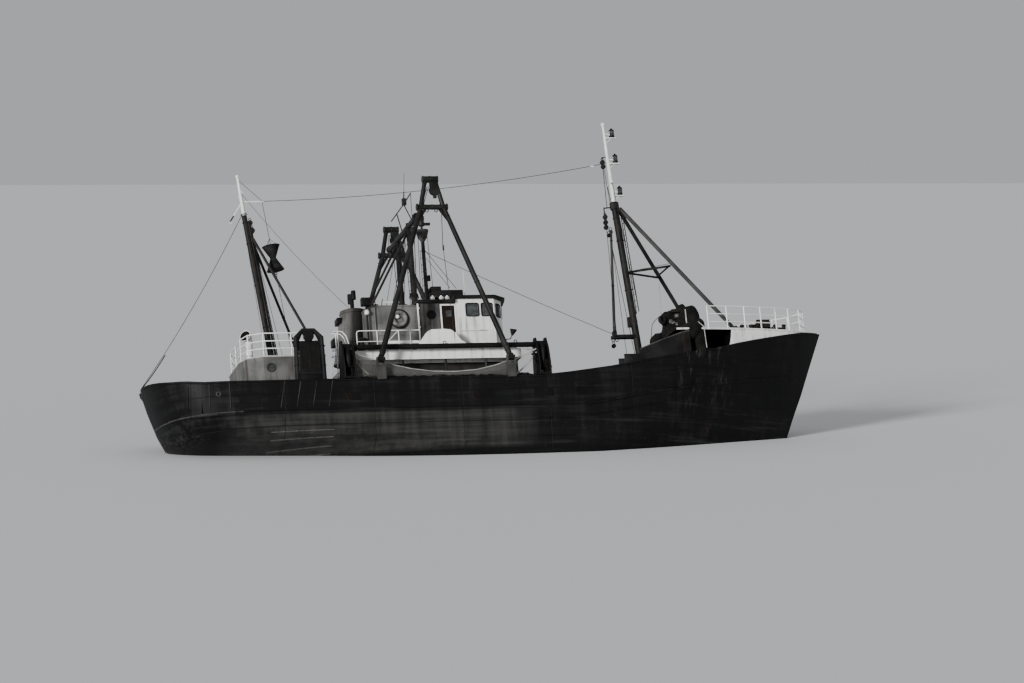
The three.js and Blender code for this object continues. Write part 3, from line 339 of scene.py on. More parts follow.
def close_up(bm, turn_out=True):
    """Merges doubles, closes holes at seams and poles, and turns the faces outwards."""
    bmesh.ops.remove_doubles(bm, verts=bm.verts, dist=1e-5)
    bmesh.ops.dissolve_degenerate(bm, edges=bm.edges, dist=1e-5)
    rim = [edge for edge in bm.edges if edge.is_boundary]
    if rim:
        bmesh.ops.holes_fill(bm, edges=rim, sides=0)
    if turn_out:
        bmesh.ops.recalc_face_normals(bm, faces=bm.faces)


def add_piece(name, bm, materials, body="ship", replaces=(), crease=35):
    """Makes a finished mesh into a piece of the ship, smooth but for edges past the crease."""
    for face in bm.faces:
        face.smooth = True
    limit = math.radians(crease)
    for edge in bm.edges:
        edge.smooth = edge.calc_face_angle(0) < limit
    mesh = bpy.data.meshes.new(name)
    bm.to_mesh(mesh)
    bm.free()
    for material in materials if isinstance(materials, (list, tuple)) else [materials]:
        mesh.materials.append(material)
    piece = bpy.data.objects.new(name, mesh)
    bpy.context.scene.collection.objects.link(piece)
    if body:
        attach(piece, body)
    if replaces:
        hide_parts(*replaces)
    return piece


def dress(material, *nodes):
    """Gives carried-over solids their finish."""
    for name in nodes:
        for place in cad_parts[name].material_slots:
            place.material = material


def hull_paint():
    """Black hull paint: chalky fade, salt and rust runs, scuffed seams and dished plates."""
    material, at = new_material("hull_black")
    x, _, z = at.axes()
    broad = at.noise(0.35, detail=5)
    runs = at.noise(1.6, stretch=(1.5, 1.5, 0.16), detail=6, rough=0.6)
    speck = at.noise(9, stretch=(1, 1, 0.6), detail=6, rough=0.7)
    drag = at.noise(2.2, stretch=(0.12, 0.12, 2.4), detail=6, rough=0.6)
    fine = at.noise(55, detail=3)
    seam = (z.near_any(PLATE_SEAMS, 0.02) + (x % 3.65).near(1.8, 0.018)).ramp(0, 1)
    frames = (x % 0.56).near(0.28, 0.2)
    chalk = (runs * 0.5 + drag * 0.5).ramp(0.47, 0.64) * broad.ramp(0.4, 0.62, 0.15, 1.0)
    colour = chalk.blend((0.003, 0.003, 0.0033), (0.0125, 0.0125, 0.0125))
    colour = (drag.ramp(0.56, 0.68) * z.ramp(1.6, -0.6) * 0.7).blend(colour, (0.024, 0.024, 0.0235))
    rust = (runs * 0.55 + speck * 0.45).ramp(0.58, 0.67) * broad.ramp(0.42, 0.6, 0.2, 1.0)
    colour = (rust * 0.6).blend(colour, (0.028, 0.017, 0.012))
    low = z.ramp(-0.75, -1.0) * speck.ramp(0.2, 0.7, 0.55, 1.0)
    colour = low.blend(colour, (0.003, 0.003, 0.003))
    aft_seam = z.near(0.76, 0.03) * (x < -10.8)
    ribs = z.near_any(WORN_RIBS, 0.022) * (x > -9.7) * (x < -7.2)
    worn = speck.ramp(0.38, 0.6, 0.35, 1.0)
    bleached = x.near(-5.2, 6.6).ramp(0, 0.5) * z.near(-0.15, 0.85).ramp(0, 0.5)
    bleached = bleached * (runs * 0.5 + drag * 0.5).ramp(0.42, 0.6, 0.35, 1.0)
    colour = (bleached * 0.8).blend(colour, (0.04, 0.039, 0.037))
    colour = (ribs.ramp(0, 1) * worn * 0.5).blend(colour, (0.15, 0.147, 0.14))
    colour = (aft_seam * worn * 0.3).blend(colour, (0.15, 0.147, 0.14))
    drips = at.noise(4, stretch=(1.7, 1.7, 0.06), detail=4, rough=0.55)
    below_screen = x.near(8.9, 1.6) * z.ramp(0.2, 2.2) * drips.ramp(0.56, 0.72) * 0.14
    salt = (speck * 0.7 + fine * 0.3).ramp(0.6, 0.7) * z.ramp(0.9, -0.9, 0.15, 0.5)
    stern = x.ramp(-12.0, -13.6) * z.ramp(0.7, -0.5) * (speck * 0.6 + fine * 0.4).ramp(0.5, 0.66)
    colour = (salt * 0.4 + stern * 0.4 + below_screen).ramp(0, 1).blend(
        colour, (0.24, 0.235, 0.22))
    colour = (seam * 0.6).blend(colour, (0.0025, 0.0025, 0.0025))
    height = seam * -0.6 + frames * -0.1 + broad * 1.6 + speck * 0.25 + rust * -0.3
    lay_on(at, colour, (chalk + rust).ramp(0, 1, 0.45, 0.75), height, 0.5, 0.03)
    return material


def wet_planks():
    """Worn pine deck planks laid fore and aft, with dark seams and wet patches."""
    material, at = new_material("deck_planks")
    board = (at.axes()[1] % PLANK).near_any((0, PLANK), 0.012)
    grain = at.noise(7, stretch=(0.15, 6, 1), detail=6, rough=0.65)
    stain = at.noise(0.9, detail=5)
    colour = grain.ramp(0.3, 0.7).blend((0.105, 0.085, 0.065), (0.21, 0.185, 0.15))
    colour = stain.ramp(0.45, 0.65, 0, 0.8).blend(colour, (0.06, 0.052, 0.045))
    colour = board.ramp(0, 1).blend(colour, (0.012, 0.011, 0.01))
    lay_on(at, colour, stain.ramp(0.4, 0.65, 0.75, 0.35), board * -1.0 + grain * 0.35, 0.6,
           0.008)
    return material


HULL_BLACK = hull_paint()
DECK_PLANKS = wet_planks()


def hull_half(u):
    """One rib of the shell, from the keel round to the deck edge and in to the centreline."""
    levels = station(u)
    deck = levels[5][0]
    heights = [KEEL_Z + (deck - KEEL_Z) * k / 26 for k in range(27)]
    rib = [hull_point(u, z, levels) for z in heights]
    floor = rib[0].copy()
    floor.y = 0
    inboard = [rib[-1] * (1 - k / 4) + Vector((rib[-1].x, 0, deck)) * (k / 4)
               for k in range(1, 5)]
    return [floor, *rib, *inboard]


def add_hull():
    bm = bmesh.new()
    loft(bm, [hull_half(u) for u in SHARES])
    bmesh.ops.mirror(bm, geom=bm.verts[:] + bm.edges[:] + bm.faces[:], axis="Y",
                     merge_dist=1e-4)
    close_up(bm)
    for face in bm.faces:
        face.material_index = int(face.normal.z > 0.9 and face.calc_center_median().z > 0.7)
    return bm


def block(bm, low, high, bevel=0.012):
    """A box from its lowest to its highest corner, with rounded edges."""
    low, high = Vector(low), Vector(high)
    size = Matrix.Diagonal((*(high - low), 1))
    made = bmesh.ops.create_cube(bm, size=1, matrix=Matrix.Translation((low + high) / 2) @ size)
    edges = list({edge for vert in made["verts"] for edge in vert.link_edges})
    if bevel:
        bmesh.ops.bevel(bm, geom=edges, offset=bevel, segments=2, affect="EDGES",
                        profile=0.5, material=-1)


def tube(bm, points, radius, sides=10):
    """A pipe with mitred bends."""
    at = [Vector(point) for point in points]
    steps = [(b - a).normalized() for a, b in zip(at, at[1:])]
    cuts = [steps[0], *((a + b).normalized() for a, b in zip(steps, steps[1:])), steps[-1]]
    turn = steps[0].to_track_quat("Z", "Y").to_matrix().to_4x4()
    ring = bmesh.ops.create_circle(bm, cap_ends=True, segments=sides, radius=radius,
                                   matrix=Matrix.Translation(at[0]) @ turn)["verts"]
    cap = next(face for face in ring[0].link_faces if len(face.verts) == sides)
    faces = [cap]
    edges = list(cap.edges)
    for i, step in enumerate(steps, 1):
        made = bmesh.ops.extrude_edge_only(bm, edges=edges)["geom"]
        ring = [part for part in made if isinstance(part, bmesh.types.BMVert)]
        faces += [part for part in made if isinstance(part, bmesh.types.BMFace)]
        edges = [part for part in made if isinstance(part, bmesh.types.BMEdge)
                 and all(vert in ring for vert in part.verts)]
        for vert in ring:
            vert.co += step * ((at[i] - vert.co).dot(cuts[i]) / step.dot(cuts[i]))
    faces += bmesh.ops.edgeloop_fill(bm, edges=edges)["faces"]
    bmesh.ops.recalc_face_normals(bm, faces=faces)


def keel_and_fittings(bm):
    """Bar keel, rudder trunk, shaft boss, mast step and the coaming of the fish hatch."""
    block(bm, (-13.05, -0.09, -2.78), (10.8, 0.09, -2.55), 0.02)
    tube(bm, [(-12.6, 0, -0.85), (-12.6, 0, 0)], 0.11, 24)
    tube(bm, [(-11.3, 0, SHAFT_Z), (-10.4, 0, SHAFT_Z)], 0.16, 24)
    block(bm, (6.85, -0.3, 1.0), (7.45, 0.3, 1.6), 0.02)
    for y in (-0.8, 0.73):
        block(bm, (4.2, y, 0.7), (5.6, y + 0.07, 1.5))
    for x in (4.2, 5.53):
        block(bm, (x, -0.8, 0.7), (x + 0.07, 0.8, 1.5))


hull_mesh = add_hull()
keel_and_fittings(hull_mesh)
add_piece("hull_plating", hull_mesh, [HULL_BLACK, DECK_PLANKS],
          replaces=["hull"])


# Rubbing bars. Half-round steel bars welded along the shell take the wear of the quay and of
# the trawl gear. The deck bar runs from stem to stern, the others are in shorter lengths.

# First and last place along the ship, height above the deck line, and half the depth.
RUBBING_BARS = (
    (-14.0, 14.2, -0.125, 0.075), (-13.3, 8.6, -0.62, 0.045), (-9.6, 3.2, -1.35, 0.035),
    (-9.4, -6.4, -0.72, 0.028), (-9.4, -6.4, -0.9, 0.028), (-9.4, -6.4, -1.08, 0.028),
    (-8.2, -1.4, 0.62, 0.03), (4.2, 13.6, 0.7, 0.035))


def bar_section(u, rise, half_depth, proud, side):
    """Five points of a half-round bar on the skin, closed through the plate."""
    x = STERN_X + (STEM_X - STERN_X) * u
    middle = straight(DECK_LINE, x) + rise
    points = []
    for k in range(5):
        angle = math.pi * (k / 4 - 0.5)
        point = hull_point(u, middle + half_depth * math.sin(angle))
        after = hull_point(min(u + 0.004, 1), point.z)
        before = hull_point(max(u - 0.004, 0), point.z)
        way = (after - before).normalized()
        point += Vector((-way.y, way.x, 0)) * (proud * math.cos(angle) - 0.01)
        points.append(Vector((point.x, side * max(point.y, 0.002), point.z)))
    return points


def add_rubbing_bars():
    bm = bmesh.new()
    for start, end, rise, half_depth in RUBBING_BARS:
        first, last = ((x - STERN_X) / (STEM_X - STERN_X) for x in (start, end))
        shares = [first, *(u for u in SHARES if first < u < last), last]
        for side in (-1, 1):
            loft(bm, [bar_section(u, rise, half_depth, half_depth * 0.95, side)
                      for u in shares])
    bmesh.ops.recalc_face_normals(bm, faces=bm.faces)
    return bm


add_piece("rubbing_bars", add_rubbing_bars(), HULL_BLACK, crease=60)


# Bulwarks. The shell plating carried up past the deck, with a pipe rail on its edge, welded
# stays inside and shutters over the freeing ports. The derrick heels are bracketed to it.

SIDES = ((-1, "starboard"), (1, "port"))
BULWARK_PLATE = 0.012
DERRICK_FEET = (-5.13, 0.3)
PIN_Y, PIN_Z, PIN_HALF = 3.45, 2.75, 0.19


def painted_steel(name, colour, faded, rust=0.3, dirt=0.5, rough=(0.4, 0.7)):
    """Brushed or sprayed paint over steel, with runs of dirt and rust at the pits."""
    material, at = new_material(name)
    patch = at.noise(1.1, detail=5)
    runs = at.noise(3.0, stretch=(1.4, 1.4, 0.12), detail=6, rough=0.6)
    grit = at.noise(24, detail=5, rough=0.7)
    tone = patch.ramp(0.36, 0.64).blend(colour, faded)
    grime = tuple(c * 0.32 for c in colour)
    tone = (runs.ramp(0.5, 0.72) * dirt).blend(tone, grime)
    pits = (grit * 0.45 + runs * 0.4 + patch * 0.15).ramp(0.555, 0.62) * rust
    tone = pits.blend(tone, (0.085, 0.042, 0.024))
    height = patch * 0.5 + grit * 0.12 + pits * -0.4
    lay_on(at, tone, (pits + patch * 0.5).ramp(0.1, 1.0, *rough), height, 0.5, 0.012)
    return material


# Black paint on shutters, ribs and window rims; the same black is painted shade under the
# whaleback, inside the cowl and in the wheelhouse's round lights.
BLACK_PAINT_AND_SHADE = painted_steel("black_paint_and_painted_shade", (0.0015, 0.0015, 0.0015), (0.004, 0.004, 0.004), rust=0.2)
WORN_BARS = painted_steel("worn_bars", (0.006, 0.006, 0.006), (0.05, 0.05, 0.048), rust=0.6)
HEEL_GREY = painted_steel("heel_grey", (0.03, 0.03, 0.029), (0.066, 0.065, 0.062), rust=0.5,
                          dirt=0.6)


def bulwark_rib(u, side, inset):
    levels = station(u)
    low, high = levels[5][0], levels[6][0]
    rib = []
    for k in range(7):
        point = hull_point(u, low + (high - low) * k / 6, levels)
        point.y = side * max(point.y - inset, 0.001)
        rib.append(point)
    return rib


def rail_run(side):
    """Points along the pipe rail on the bulwark's top edge."""
    run = []
    for u in (share for share in SHARES if 0.003 <= share <= 0.995):
        point = hull_point(u, station(u)[6][0])
        run.append(Vector((point.x, side * max(point.y - 0.03, 0), point.z - 0.02)))
    return run


def on_skin(x, side, z, proud):
    """A point that stands proud of the plating by a length."""
    return (x, side * (hull_at(x, z) + proud), z)


def skin_patch(bm, side, xs, low, high, proud):
    """A panel that follows the plating, closed against it."""
    edges = ((low, -0.01), (low, proud), (high, proud), (high, -0.01))
    loft(bm, [[on_skin(x, side, z, out) for z, out in edges] for x in xs])


def add_freeing_ports(side, word):
    """Black shutters low in the bulwark, each hung in the opening by two strap hinges."""
    bm = bmesh.new()
    for x in (-10.52, -6.4, -0.9, 1.6, 3.4):
        skin_patch(bm, side, [x - 0.42 + 0.14 * k for k in range(7)], 1.08, 1.4, 0.004)
    for x in (-10.8, -10.24, -6.65, -6.15, -1.15, -0.65, 1.35, 1.85, 3.15, 3.65):
        skin_patch(bm, side, (x - 0.025, x + 0.025), 1.3, 1.46, 0.014)
    bmesh.ops.recalc_face_normals(bm, faces=bm.faces)
    add_piece("freeing_ports_" + word, bm, BLACK_PAINT_AND_SHADE)


def add_bulwark_iron(side, word):
    """Raking bars chafed by the gear, a mooring eye, and upright ribs over the quarter."""
    bm = bmesh.new()
    for head in (-9.1, -8.45, -7.8, -7.15):
        tube(bm, [on_skin(head - 0.2 * (1.93 - z), side, z, 0.004)
                  for z in (0.86, 1.2, 1.55, 1.93)], 0.016, 6)
    add_piece("bulwark_bars_" + word, bm, WORN_BARS)
    bm = bmesh.new()
    hoop(bm, on_skin(-11.75, side, 1.5, 0.01), (0, 1, 0), 0.08, 0.035, 18, 8)
    add_piece("mooring_eye_" + word, bm, HEEL_GREY)
    bm = bmesh.new()
    for x in (-12.9, -12.1, -11.3):
        tube(bm, [on_skin(x, side, z, 0.002) for z in (0.9, 1.4, 1.9)], 0.026, 6)
    add_piece("bulwark_ribs_" + word, bm, BLACK_PAINT_AND_SHADE)


def plate(bm, outline, thickness):
    """A flat plate: an outline of points, thickened by a vector."""
    face = bm.faces.new([bm.verts.new(point) for point in outline])
    made = bmesh.ops.extrude_face_region(bm, geom=[face])["geom"]
    moved = [part for part in made if isinstance(part, bmesh.types.BMVert)]
    bmesh.ops.translate(bm, verts=moved, vec=thickness)
    sides = {side for vert in moved for side in vert.link_faces} | {face}
    bmesh.ops.recalc_face_normals(bm, faces=list(sides))


def put(bm, part, place=None):
    """Moves a part into place and joins it to the mesh."""
    if place is not None:
        part.transform(place)
        bmesh.ops.recalc_face_normals(part, faces=part.faces)
    carried = bpy.data.meshes.new("part")
    part.to_mesh(carried)
    part.free()
    bm.from_mesh(carried)
    bpy.data.meshes.remove(carried)


def lathe(bm, profile, centre, axis=(0, 0, 1), steps=24):
    """Turns a profile of (radius, distance along the axis) round the axis at the centre."""
    part = bmesh.new()
    verts = [part.verts.new((radius, 0, along)) for radius, along in profile]
    edges = [part.edges.new(pair) for pair in zip(verts, verts[1:])]
    bmesh.ops.spin(part, geom=verts + edges, cent=(0, 0, 0), axis=(0, 0, 1), dvec=(0, 0, 0),
                   angle=2 * math.pi, steps=steps, use_merge=True)
    close_up(part)
    turn = UP.rotation_difference(Vector(axis)).to_matrix().to_4x4()
    put(bm, part, Matrix.Translation(centre) @ turn)


def disc(bm, radius, low, high, centre, axis, steps=24):
    """A solid drum between two distances along its axis."""
    lathe(bm, [(0, low), (radius, low), (radius, high), (0, high)], centre, axis, steps)


def hoop(bm, centre, axis, radius, thickness, steps=28, sides=8):
    """A ring of round bar."""
    ring = [(radius + thickness * math.cos(math.tau * k / sides),
             thickness * math.sin(math.tau * k / sides)) for k in range(sides + 1)]
    lathe(bm, ring, centre, axis, steps)


def bulwark_stays(bm, side):
    """Triangular stays from the deck to the rail, inside the plating."""
    for x in [-12.4 + 0.9 * k for k in range(24)]:
        deck, rail = straight(DECK_LINE, x), straight(RAIL_LINE, x)
        edge = hull_at(x, deck + 0.3) - 0.02
        outline = ((edge, deck + 0.01), (edge - 0.34, deck + 0.01), (edge - 0.06, rail - 0.06),
                   (hull_at(x, rail) - 0.02, rail - 0.06))
        plate(bm, [(x, side * y, z) for y, z in outline], (0.012, 0, 0))


def derrick_heels(bm, side):
    """A welded stub on the rail, two cheek plates with rounded heads, and the heel pin."""
    y = side * PIN_Y
    for x in DERRICK_FEET:
        ys = sorted((side * 3.345, side * 3.53))
        block(bm, (x - 0.18, ys[0], 1.9), (x + 0.18, ys[1], 2.5), 0.02)
        for middle in (x - 0.15, x + 0.15):
            block(bm, (middle - 0.03, y - 0.08, 2.4), (middle + 0.03, y + 0.08, PIN_Z), 0.006)
            tube(bm, [(middle - 0.03, y, PIN_Z), (middle + 0.03, y, PIN_Z)], 0.085, 20)
        tube(bm, [(x - PIN_HALF, y, PIN_Z), (x + PIN_HALF, y, PIN_Z)], 0.05, 16)


def add_bulwark(side, word):
    bm = bmesh.new()
    for inset in (0.0, BULWARK_PLATE):
        loft(bm, [bulwark_rib(u, side, inset) for u in SHARES])
    bmesh.ops.bridge_loops(bm, edges=[edge for edge in bm.edges if edge.is_boundary])
    close_up(bm)
    bulwark_stays(bm, side)
    tube(bm, rail_run(side), 0.055, 10)
    add_piece("bulwark_plating_" + word, bm, HULL_BLACK,
              replaces=["bulwark_" + word])
    bm = bmesh.new()
    derrick_heels(bm, side)
    add_piece("derrick_heels_" + word, bm, HEEL_GREY)


for side, word in SIDES:
    add_bulwark(side, word)
    add_freeing_ports(side, word)
    add_bulwark_iron(side, word)


# Screens. A raised steel plate stands on each rail between the fore deck and the whaleback, with
# a grey capping bar. It keeps the sea off the gear that lies under the mast.

SCREEN_AFT, SCREEN_LENGTH = 5.95, 2.35
SCREEN_TOPS = ((SCREEN_AFT, 3.02), (6.9, 3.4), (7.85, 3.74), (8.3, 3.86))
BLACK_PAINT = painted_steel("black_paint", (0.004, 0.004, 0.0045), (0.013, 0.013, 0.013),
                            rust=0.35, dirt=0.3)


def screen_line(side):
    """Points along the screen's foot and top edge, from aft to fore."""
    foot, top = [], []
    for k in range(13):
        x = SCREEN_AFT + SCREEN_LENGTH * k / 12
        rail = straight(RAIL_LINE, x) + 0.03
        foot.append(Vector(on_skin(x, side, rail - 0.05, -0.02)) - Vector((0, 0, 0.01)))
        top.append(Vector((x, foot[-1].y + side * 0.01, straight(SCREEN_TOPS, x))))
    return foot, top


def add_screen(side, word):
    foot, top = screen_line(side)
    bm = bmesh.new()
    inwards = Vector((0, -side * 0.02, 0))
    loft(bm, [[a, b, b + inwards, a + inwards, a] for a, b in zip(foot, top)])
    close_up(bm)
    for low, high in list(zip(foot, top))[1::3]:
        plate(bm, [low + inwards, high + inwards, low + inwards * 12], (0.012, 0, 0))
    add_piece("screen_plate_" + word, bm, BLACK_PAINT,
              replaces=["screen_" + word])
    bm = bmesh.new()
    tube(bm, top, 0.028)
    add_piece("screen_capping_" + word, bm, HEEL_GREY)


for side, word in SIDES:
    add_screen(side, word)


# Whaleback. A raised turtle deck of white painted plate over the bow, on side plates that are
# welded to the rails. It is open aft, with a moulded edge, and black inside up to a bulkhead: the
# black underside and bulkhead are painted shade.

WHALEBACK_AFT, WHALEBACK_FORE = 7.7, 14.5
SIDE_AFT, SIDE_LENGTH, SIDE_SWEEP = 10.0, 4.48, 0.36
# Place of a black plate across the inside, which stands as painted shade under the whaleback.
SHADE_BULKHEAD_X = 10.3
WHITE_PAINT = painted_steel("white_paint", (0.68, 0.68, 0.66), (0.78, 0.78, 0.76), rust=0.75,
                            dirt=0.4, rough=(0.35, 0.65))
DECK_GREY = painted_steel("deck_grey_paint", (0.2, 0.2, 0.19), (0.3, 0.3, 0.285), rust=0.9,
                          dirt=0.7)


def whaleback_z(x):
    return 4.0 + 0.05 * (x - 9)


def whaleback_half(x):
    return hull_at(x, straight(RAIL_LINE, x)) - 0.02


def whaleback_side(side):
    """White plating from the rail up to the deck, its aft edge swept down along the rail."""
    rows = []
    for k in range(45):
        x = SIDE_AFT + SIDE_LENGTH * (k / 44) ** 1.7
        share = min((x - SIDE_AFT) / SIDE_SWEEP, 1.0)
        low = straight(RAIL_LINE, x) + 0.035
        full = max(whaleback_z(x) - 0.03 - low, 0.005)
        high = low + max(full * share ** 3.5, 0.004)
        y = side * (whaleback_half(x) - 0.002)
        outer = [Vector((x, y, low + (high - low) * j / 4)) for j in range(5)]
        inner = [point + Vector((0, -side * 0.012, 0)) for point in reversed(outer)]
        rows.append([*outer, *inner, outer[0]])
    return rows


def whaleback_deck():
    rows = []
    for k in range(40):
        x = WHALEBACK_AFT + (WHALEBACK_FORE - WHALEBACK_AFT) * k / 39
        half, z = whaleback_half(x), whaleback_z(x)
        row = [Vector((x, half * j / 8, z)) for j in range(-8, 9)]
        row += [point - Vector((0, 0, 0.04)) for point in reversed(row)]
        rows.append([*row, row[0]])
    return rows


def add_whaleback():
    bm = bmesh.new()
    loft(bm, whaleback_deck())
    close_up(bm)
    for face in bm.faces:
        # Top faces take the grey deck paint; faces that look down take the black, as painted shade.
        face.material_index = 1 if face.normal.z > 0.8 else 2 if face.normal.z < -0.8 else 0
    for side in (-1, 1):
        part = bmesh.new()
        loft(part, whaleback_side(side))
        close_up(part)
        put(bm, part)
        edge = [Vector((x, side * whaleback_half(x), whaleback_z(x) - 0.02))
                for x in [WHALEBACK_AFT + 0.17 * k for k in range(41)]]
        tube(bm, edge, 0.042)
    add_piece("whaleback_plating", bm, [WHITE_PAINT, DECK_GREY, BLACK_PAINT_AND_SHADE],
              replaces=["whaleback"])


def add_whaleback_beams():
    """The pipe across the open end, the deck beams and the bulkhead, all in black; under the
    whaleback this black is painted shade.
    """
    bm = bmesh.new()
    half = whaleback_half(WHALEBACK_AFT)
    tube(bm, [(WHALEBACK_AFT, y, whaleback_z(WHALEBACK_AFT) - 0.02) for y in (-half, half)], 0.03)
    for x in (8.6, 9.8, 11.0, 12.2, 13.4):
        half, z = whaleback_half(x) - 0.05, whaleback_z(x)
        block(bm, (x - 0.006, -half, z - 0.14), (x + 0.006, half, z - 0.045), 0)
    x = SHADE_BULKHEAD_X
    edge = [(hull_at(x, z) - 0.09, z) for z in (1.85, 2.3, 2.75)]
    edge.append((whaleback_half(x) - 0.06, 3.95))
    plate(bm, [(x, -y, z) for y, z in edge] + [(x, y, z) for y, z in reversed(edge)],
          (0.02, 0, 0))
    add_piece("whaleback_beams", bm, BLACK_PAINT_AND_SHADE)


add_whaleback()
add_whaleback_beams()


# Foredeck gear. Cast bollards, a fairlead and a hand windlass are bolted to the whaleback, with
# a short run of chain to the stopper. All of it is rusty black iron.

WINDLASS_X, WINDLASS_Z = 12.55, 4.62
IRON = painted_steel("black_iron", (0.007, 0.0065, 0.006), (0.022, 0.018, 0.016), rust=0.6,
                     dirt=0.2, rough=(0.5, 0.8))


def bollards(bm, x, y):
    z = whaleback_z(x)
    block(bm, (x - 0.34, y - 0.13, z - 0.01), (x + 0.34, y + 0.13, z + 0.04))
    for place in (x - 0.2, x + 0.2):
        lathe(bm, [(0, 0.03), (0.075, 0.03), (0.075, 0.3), (0.1, 0.34), (0.1, 0.38),
                   (0.07, 0.41), (0, 0.415)], (place, y, z))


def chain(bm, start, end, pitch, wire):
    """Stud-less chain links laid between two points, each turned against the last."""
    start, end = Vector(start), Vector(end)
    count = max(int((end - start).length / pitch), 1)
    way = (end - start).normalized()
    flat = way.cross(UP if abs(way.z) < 0.9 else Vector((0, 1, 0))).normalized()
    for k in range(count):
        axis = flat if k % 2 else way.cross(flat)
        part = bmesh.new()
        ring = [(pitch * 0.42 + wire * math.cos(math.tau * j / 5),
                 wire * math.sin(math.tau * j / 5)) for j in range(6)]
        lathe(part, ring, (0, 0, 0), (0, 0, 1), 10)
        grow = Matrix.Diagonal((1.55, 1, 1, 1))
        across = axis.cross(way)
        turn = Matrix((way, across, axis)).transposed().to_4x4()
        middle = start + way * (pitch * (k + 0.5))
        put(bm, part, Matrix.Translation(middle) @ turn @ grow)


def windlass_details(bm):
    """Warping heads and brake bands on the shaft, the cable to the stopper, and a lever."""
    for y in (-0.62, 0.55):
        lathe(bm, [(0.2, 0), (0.2, 0.02), (0.14, 0.05), (0.12, 0.12), (0.17, 0.19),
                   (0.17, 0.21), (0, 0.21)], (WINDLASS_X, y, WINDLASS_Z),
              (0, math.copysign(1, y), 0))
    for y in (0.2, -0.2):
        hoop(bm, (WINDLASS_X, y, WINDLASS_Z), (0, 1, 0), 0.27, 0.02)
    chain(bm, (12.78, 0, 4.6), (13.4, 0, 4.66), 0.11, 0.02)
    z = whaleback_z(WINDLASS_X)
    tube(bm, [(12.3, 0.5, z + 0.2), (12.1, 0.5, z + 0.75)], 0.018)


def add_foredeck_gear():
    bm = bmesh.new()
    for x, y in ((11.55, -1.0), (11.55, 1.0), (13.2, -0.62), (13.2, 0.62)):
        bollards(bm, x, y)
    windlass_details(bm)
    lathe(bm, [(0.05, 0), (0.11, 0), (0.11, 0.3), (0.2, 0.34), (0.21, 0.4), (0.12, 0.48),
               (0, 0.5)], (10.5, 0.6, whaleback_z(10.5)))
    add_piece("foredeck_gear", bm, IRON)


add_foredeck_gear()
dress(IRON, "windlass")


# Bow rails. Galvanised pipe painted white, three bars on upright posts with foot plates bolted
# to the whaleback, drawn in to meet at the stem head.

RAIL_WHITE = painted_steel("rail_white_paint", (0.7, 0.7, 0.68), (0.8, 0.8, 0.78), rust=0.9,
                           dirt=0.15, rough=(0.35, 0.6))
BOW_POSTS = (9.3, 10.25, 11.15, 12.0, 12.8, 13.5, 14.1, 14.5)
BOW_BARS = (0.32, 0.66, 1.0)


def bow_rail_at(x, side, rise):
    half = 0.12 if x > 14.4 else whaleback_half(x) - 0.15
    return Vector((x, side * half, whaleback_z(x) + rise))


def add_bow_rail(side, word):
    bm = bmesh.new()
    for x in BOW_POSTS:
        lathe(bm, [(0, 0), (0.06, 0), (0.06, 0.012), (0.024, 0.012), (0.024, 0.02)],
              bow_rail_at(x, side, 0), steps=14)
        tube(bm, [bow_rail_at(x, side, rise) for rise in (0, BOW_BARS[-1])], 0.026)
    for rise in BOW_BARS:
        tube(bm, [bow_rail_at(x, side, rise) for x in BOW_POSTS], 0.022)
    add_piece("bow_rail_pipes_" + word, bm, RAIL_WHITE,
              replaces=["bow_rail_" + word])


for side, word in SIDES:
    add_bow_rail(side, word)


# Heap of nets. Spare netting, rope and a few floats are piled and lashed on the aft end of the
# whaleback, and loose nets lie under it and over its edge. The twine is dark with tar.

def netting_paint(name, colour, faded, cell, cover=None):
    """Twine in a diamond mesh. Where cover is given, the gaps between the twines are open, and
    the fore end of the netting is thinner still."""
    material, at = new_material(name)
    x, y, z = at.axes()
    wander = at.noise(2.5, detail=4) * (cell * 1.6)
    rise, fall = x + z + y * 0.6 + wander, x - z - y * 0.6 + wander
    wide = cell * (cover or 0.3)
    twine = ((rise % cell).near(cell / 2, wide) + (fall % cell).near(cell / 2, wide)).ramp(0, 1)
    fade = at.noise(1.6, detail=5)
    tone = fade.ramp(0.38, 0.66).blend(colour, faded)
    if cover is None:
        # Without cover, the gaps between the twines are painted darker, as painted shade of the
        # netting below.
        tone = (1 - twine).blend(tone, tuple(c * 0.25 for c in colour))
        lay_on(at, tone, 0.85, twine, 0.9, 0.02)
    else:
        knots = (fade + twine).ramp(0.5, 1.2)
        lay_on(at, knots.blend(colour, faded), 0.9, twine, 0.5, 0.01,
               Alpha=twine * x.ramp(0.15, 0.6, 1.0, 0.2))
    return material


def fibre_rope(name, colour, faded):
    """Laid rope: soft, matt and a little grubby."""
    material, at = new_material(name)
    fade = at.noise(5, detail=4)
    x, y, z = at.axes()
    lay = ((x + y + z) % 0.05).near(0.025, 0.02)
    lay_on(at, fade.ramp(0.35, 0.65).blend(colour, faded), 0.85, lay, 0.6, 0.006)
    return material


DARK_NET = netting_paint("dark_netting", (0.005, 0.005, 0.0045), (0.018, 0.017, 0.015), 0.07)
DARK_ROPE = fibre_rope("dark_rope", (0.006, 0.0055, 0.005), (0.018, 0.017, 0.0155))
PALE_ROPE = fibre_rope("pale_rope", (0.24, 0.235, 0.22), (0.42, 0.41, 0.385))

HEAP_CENTRE, HEAP_RADII = (8.95, -0.13, 4.4), (0.72, 0.9, 1.2)
HEAP_LOW, HEAP_HIGH = 4.05, 5.3
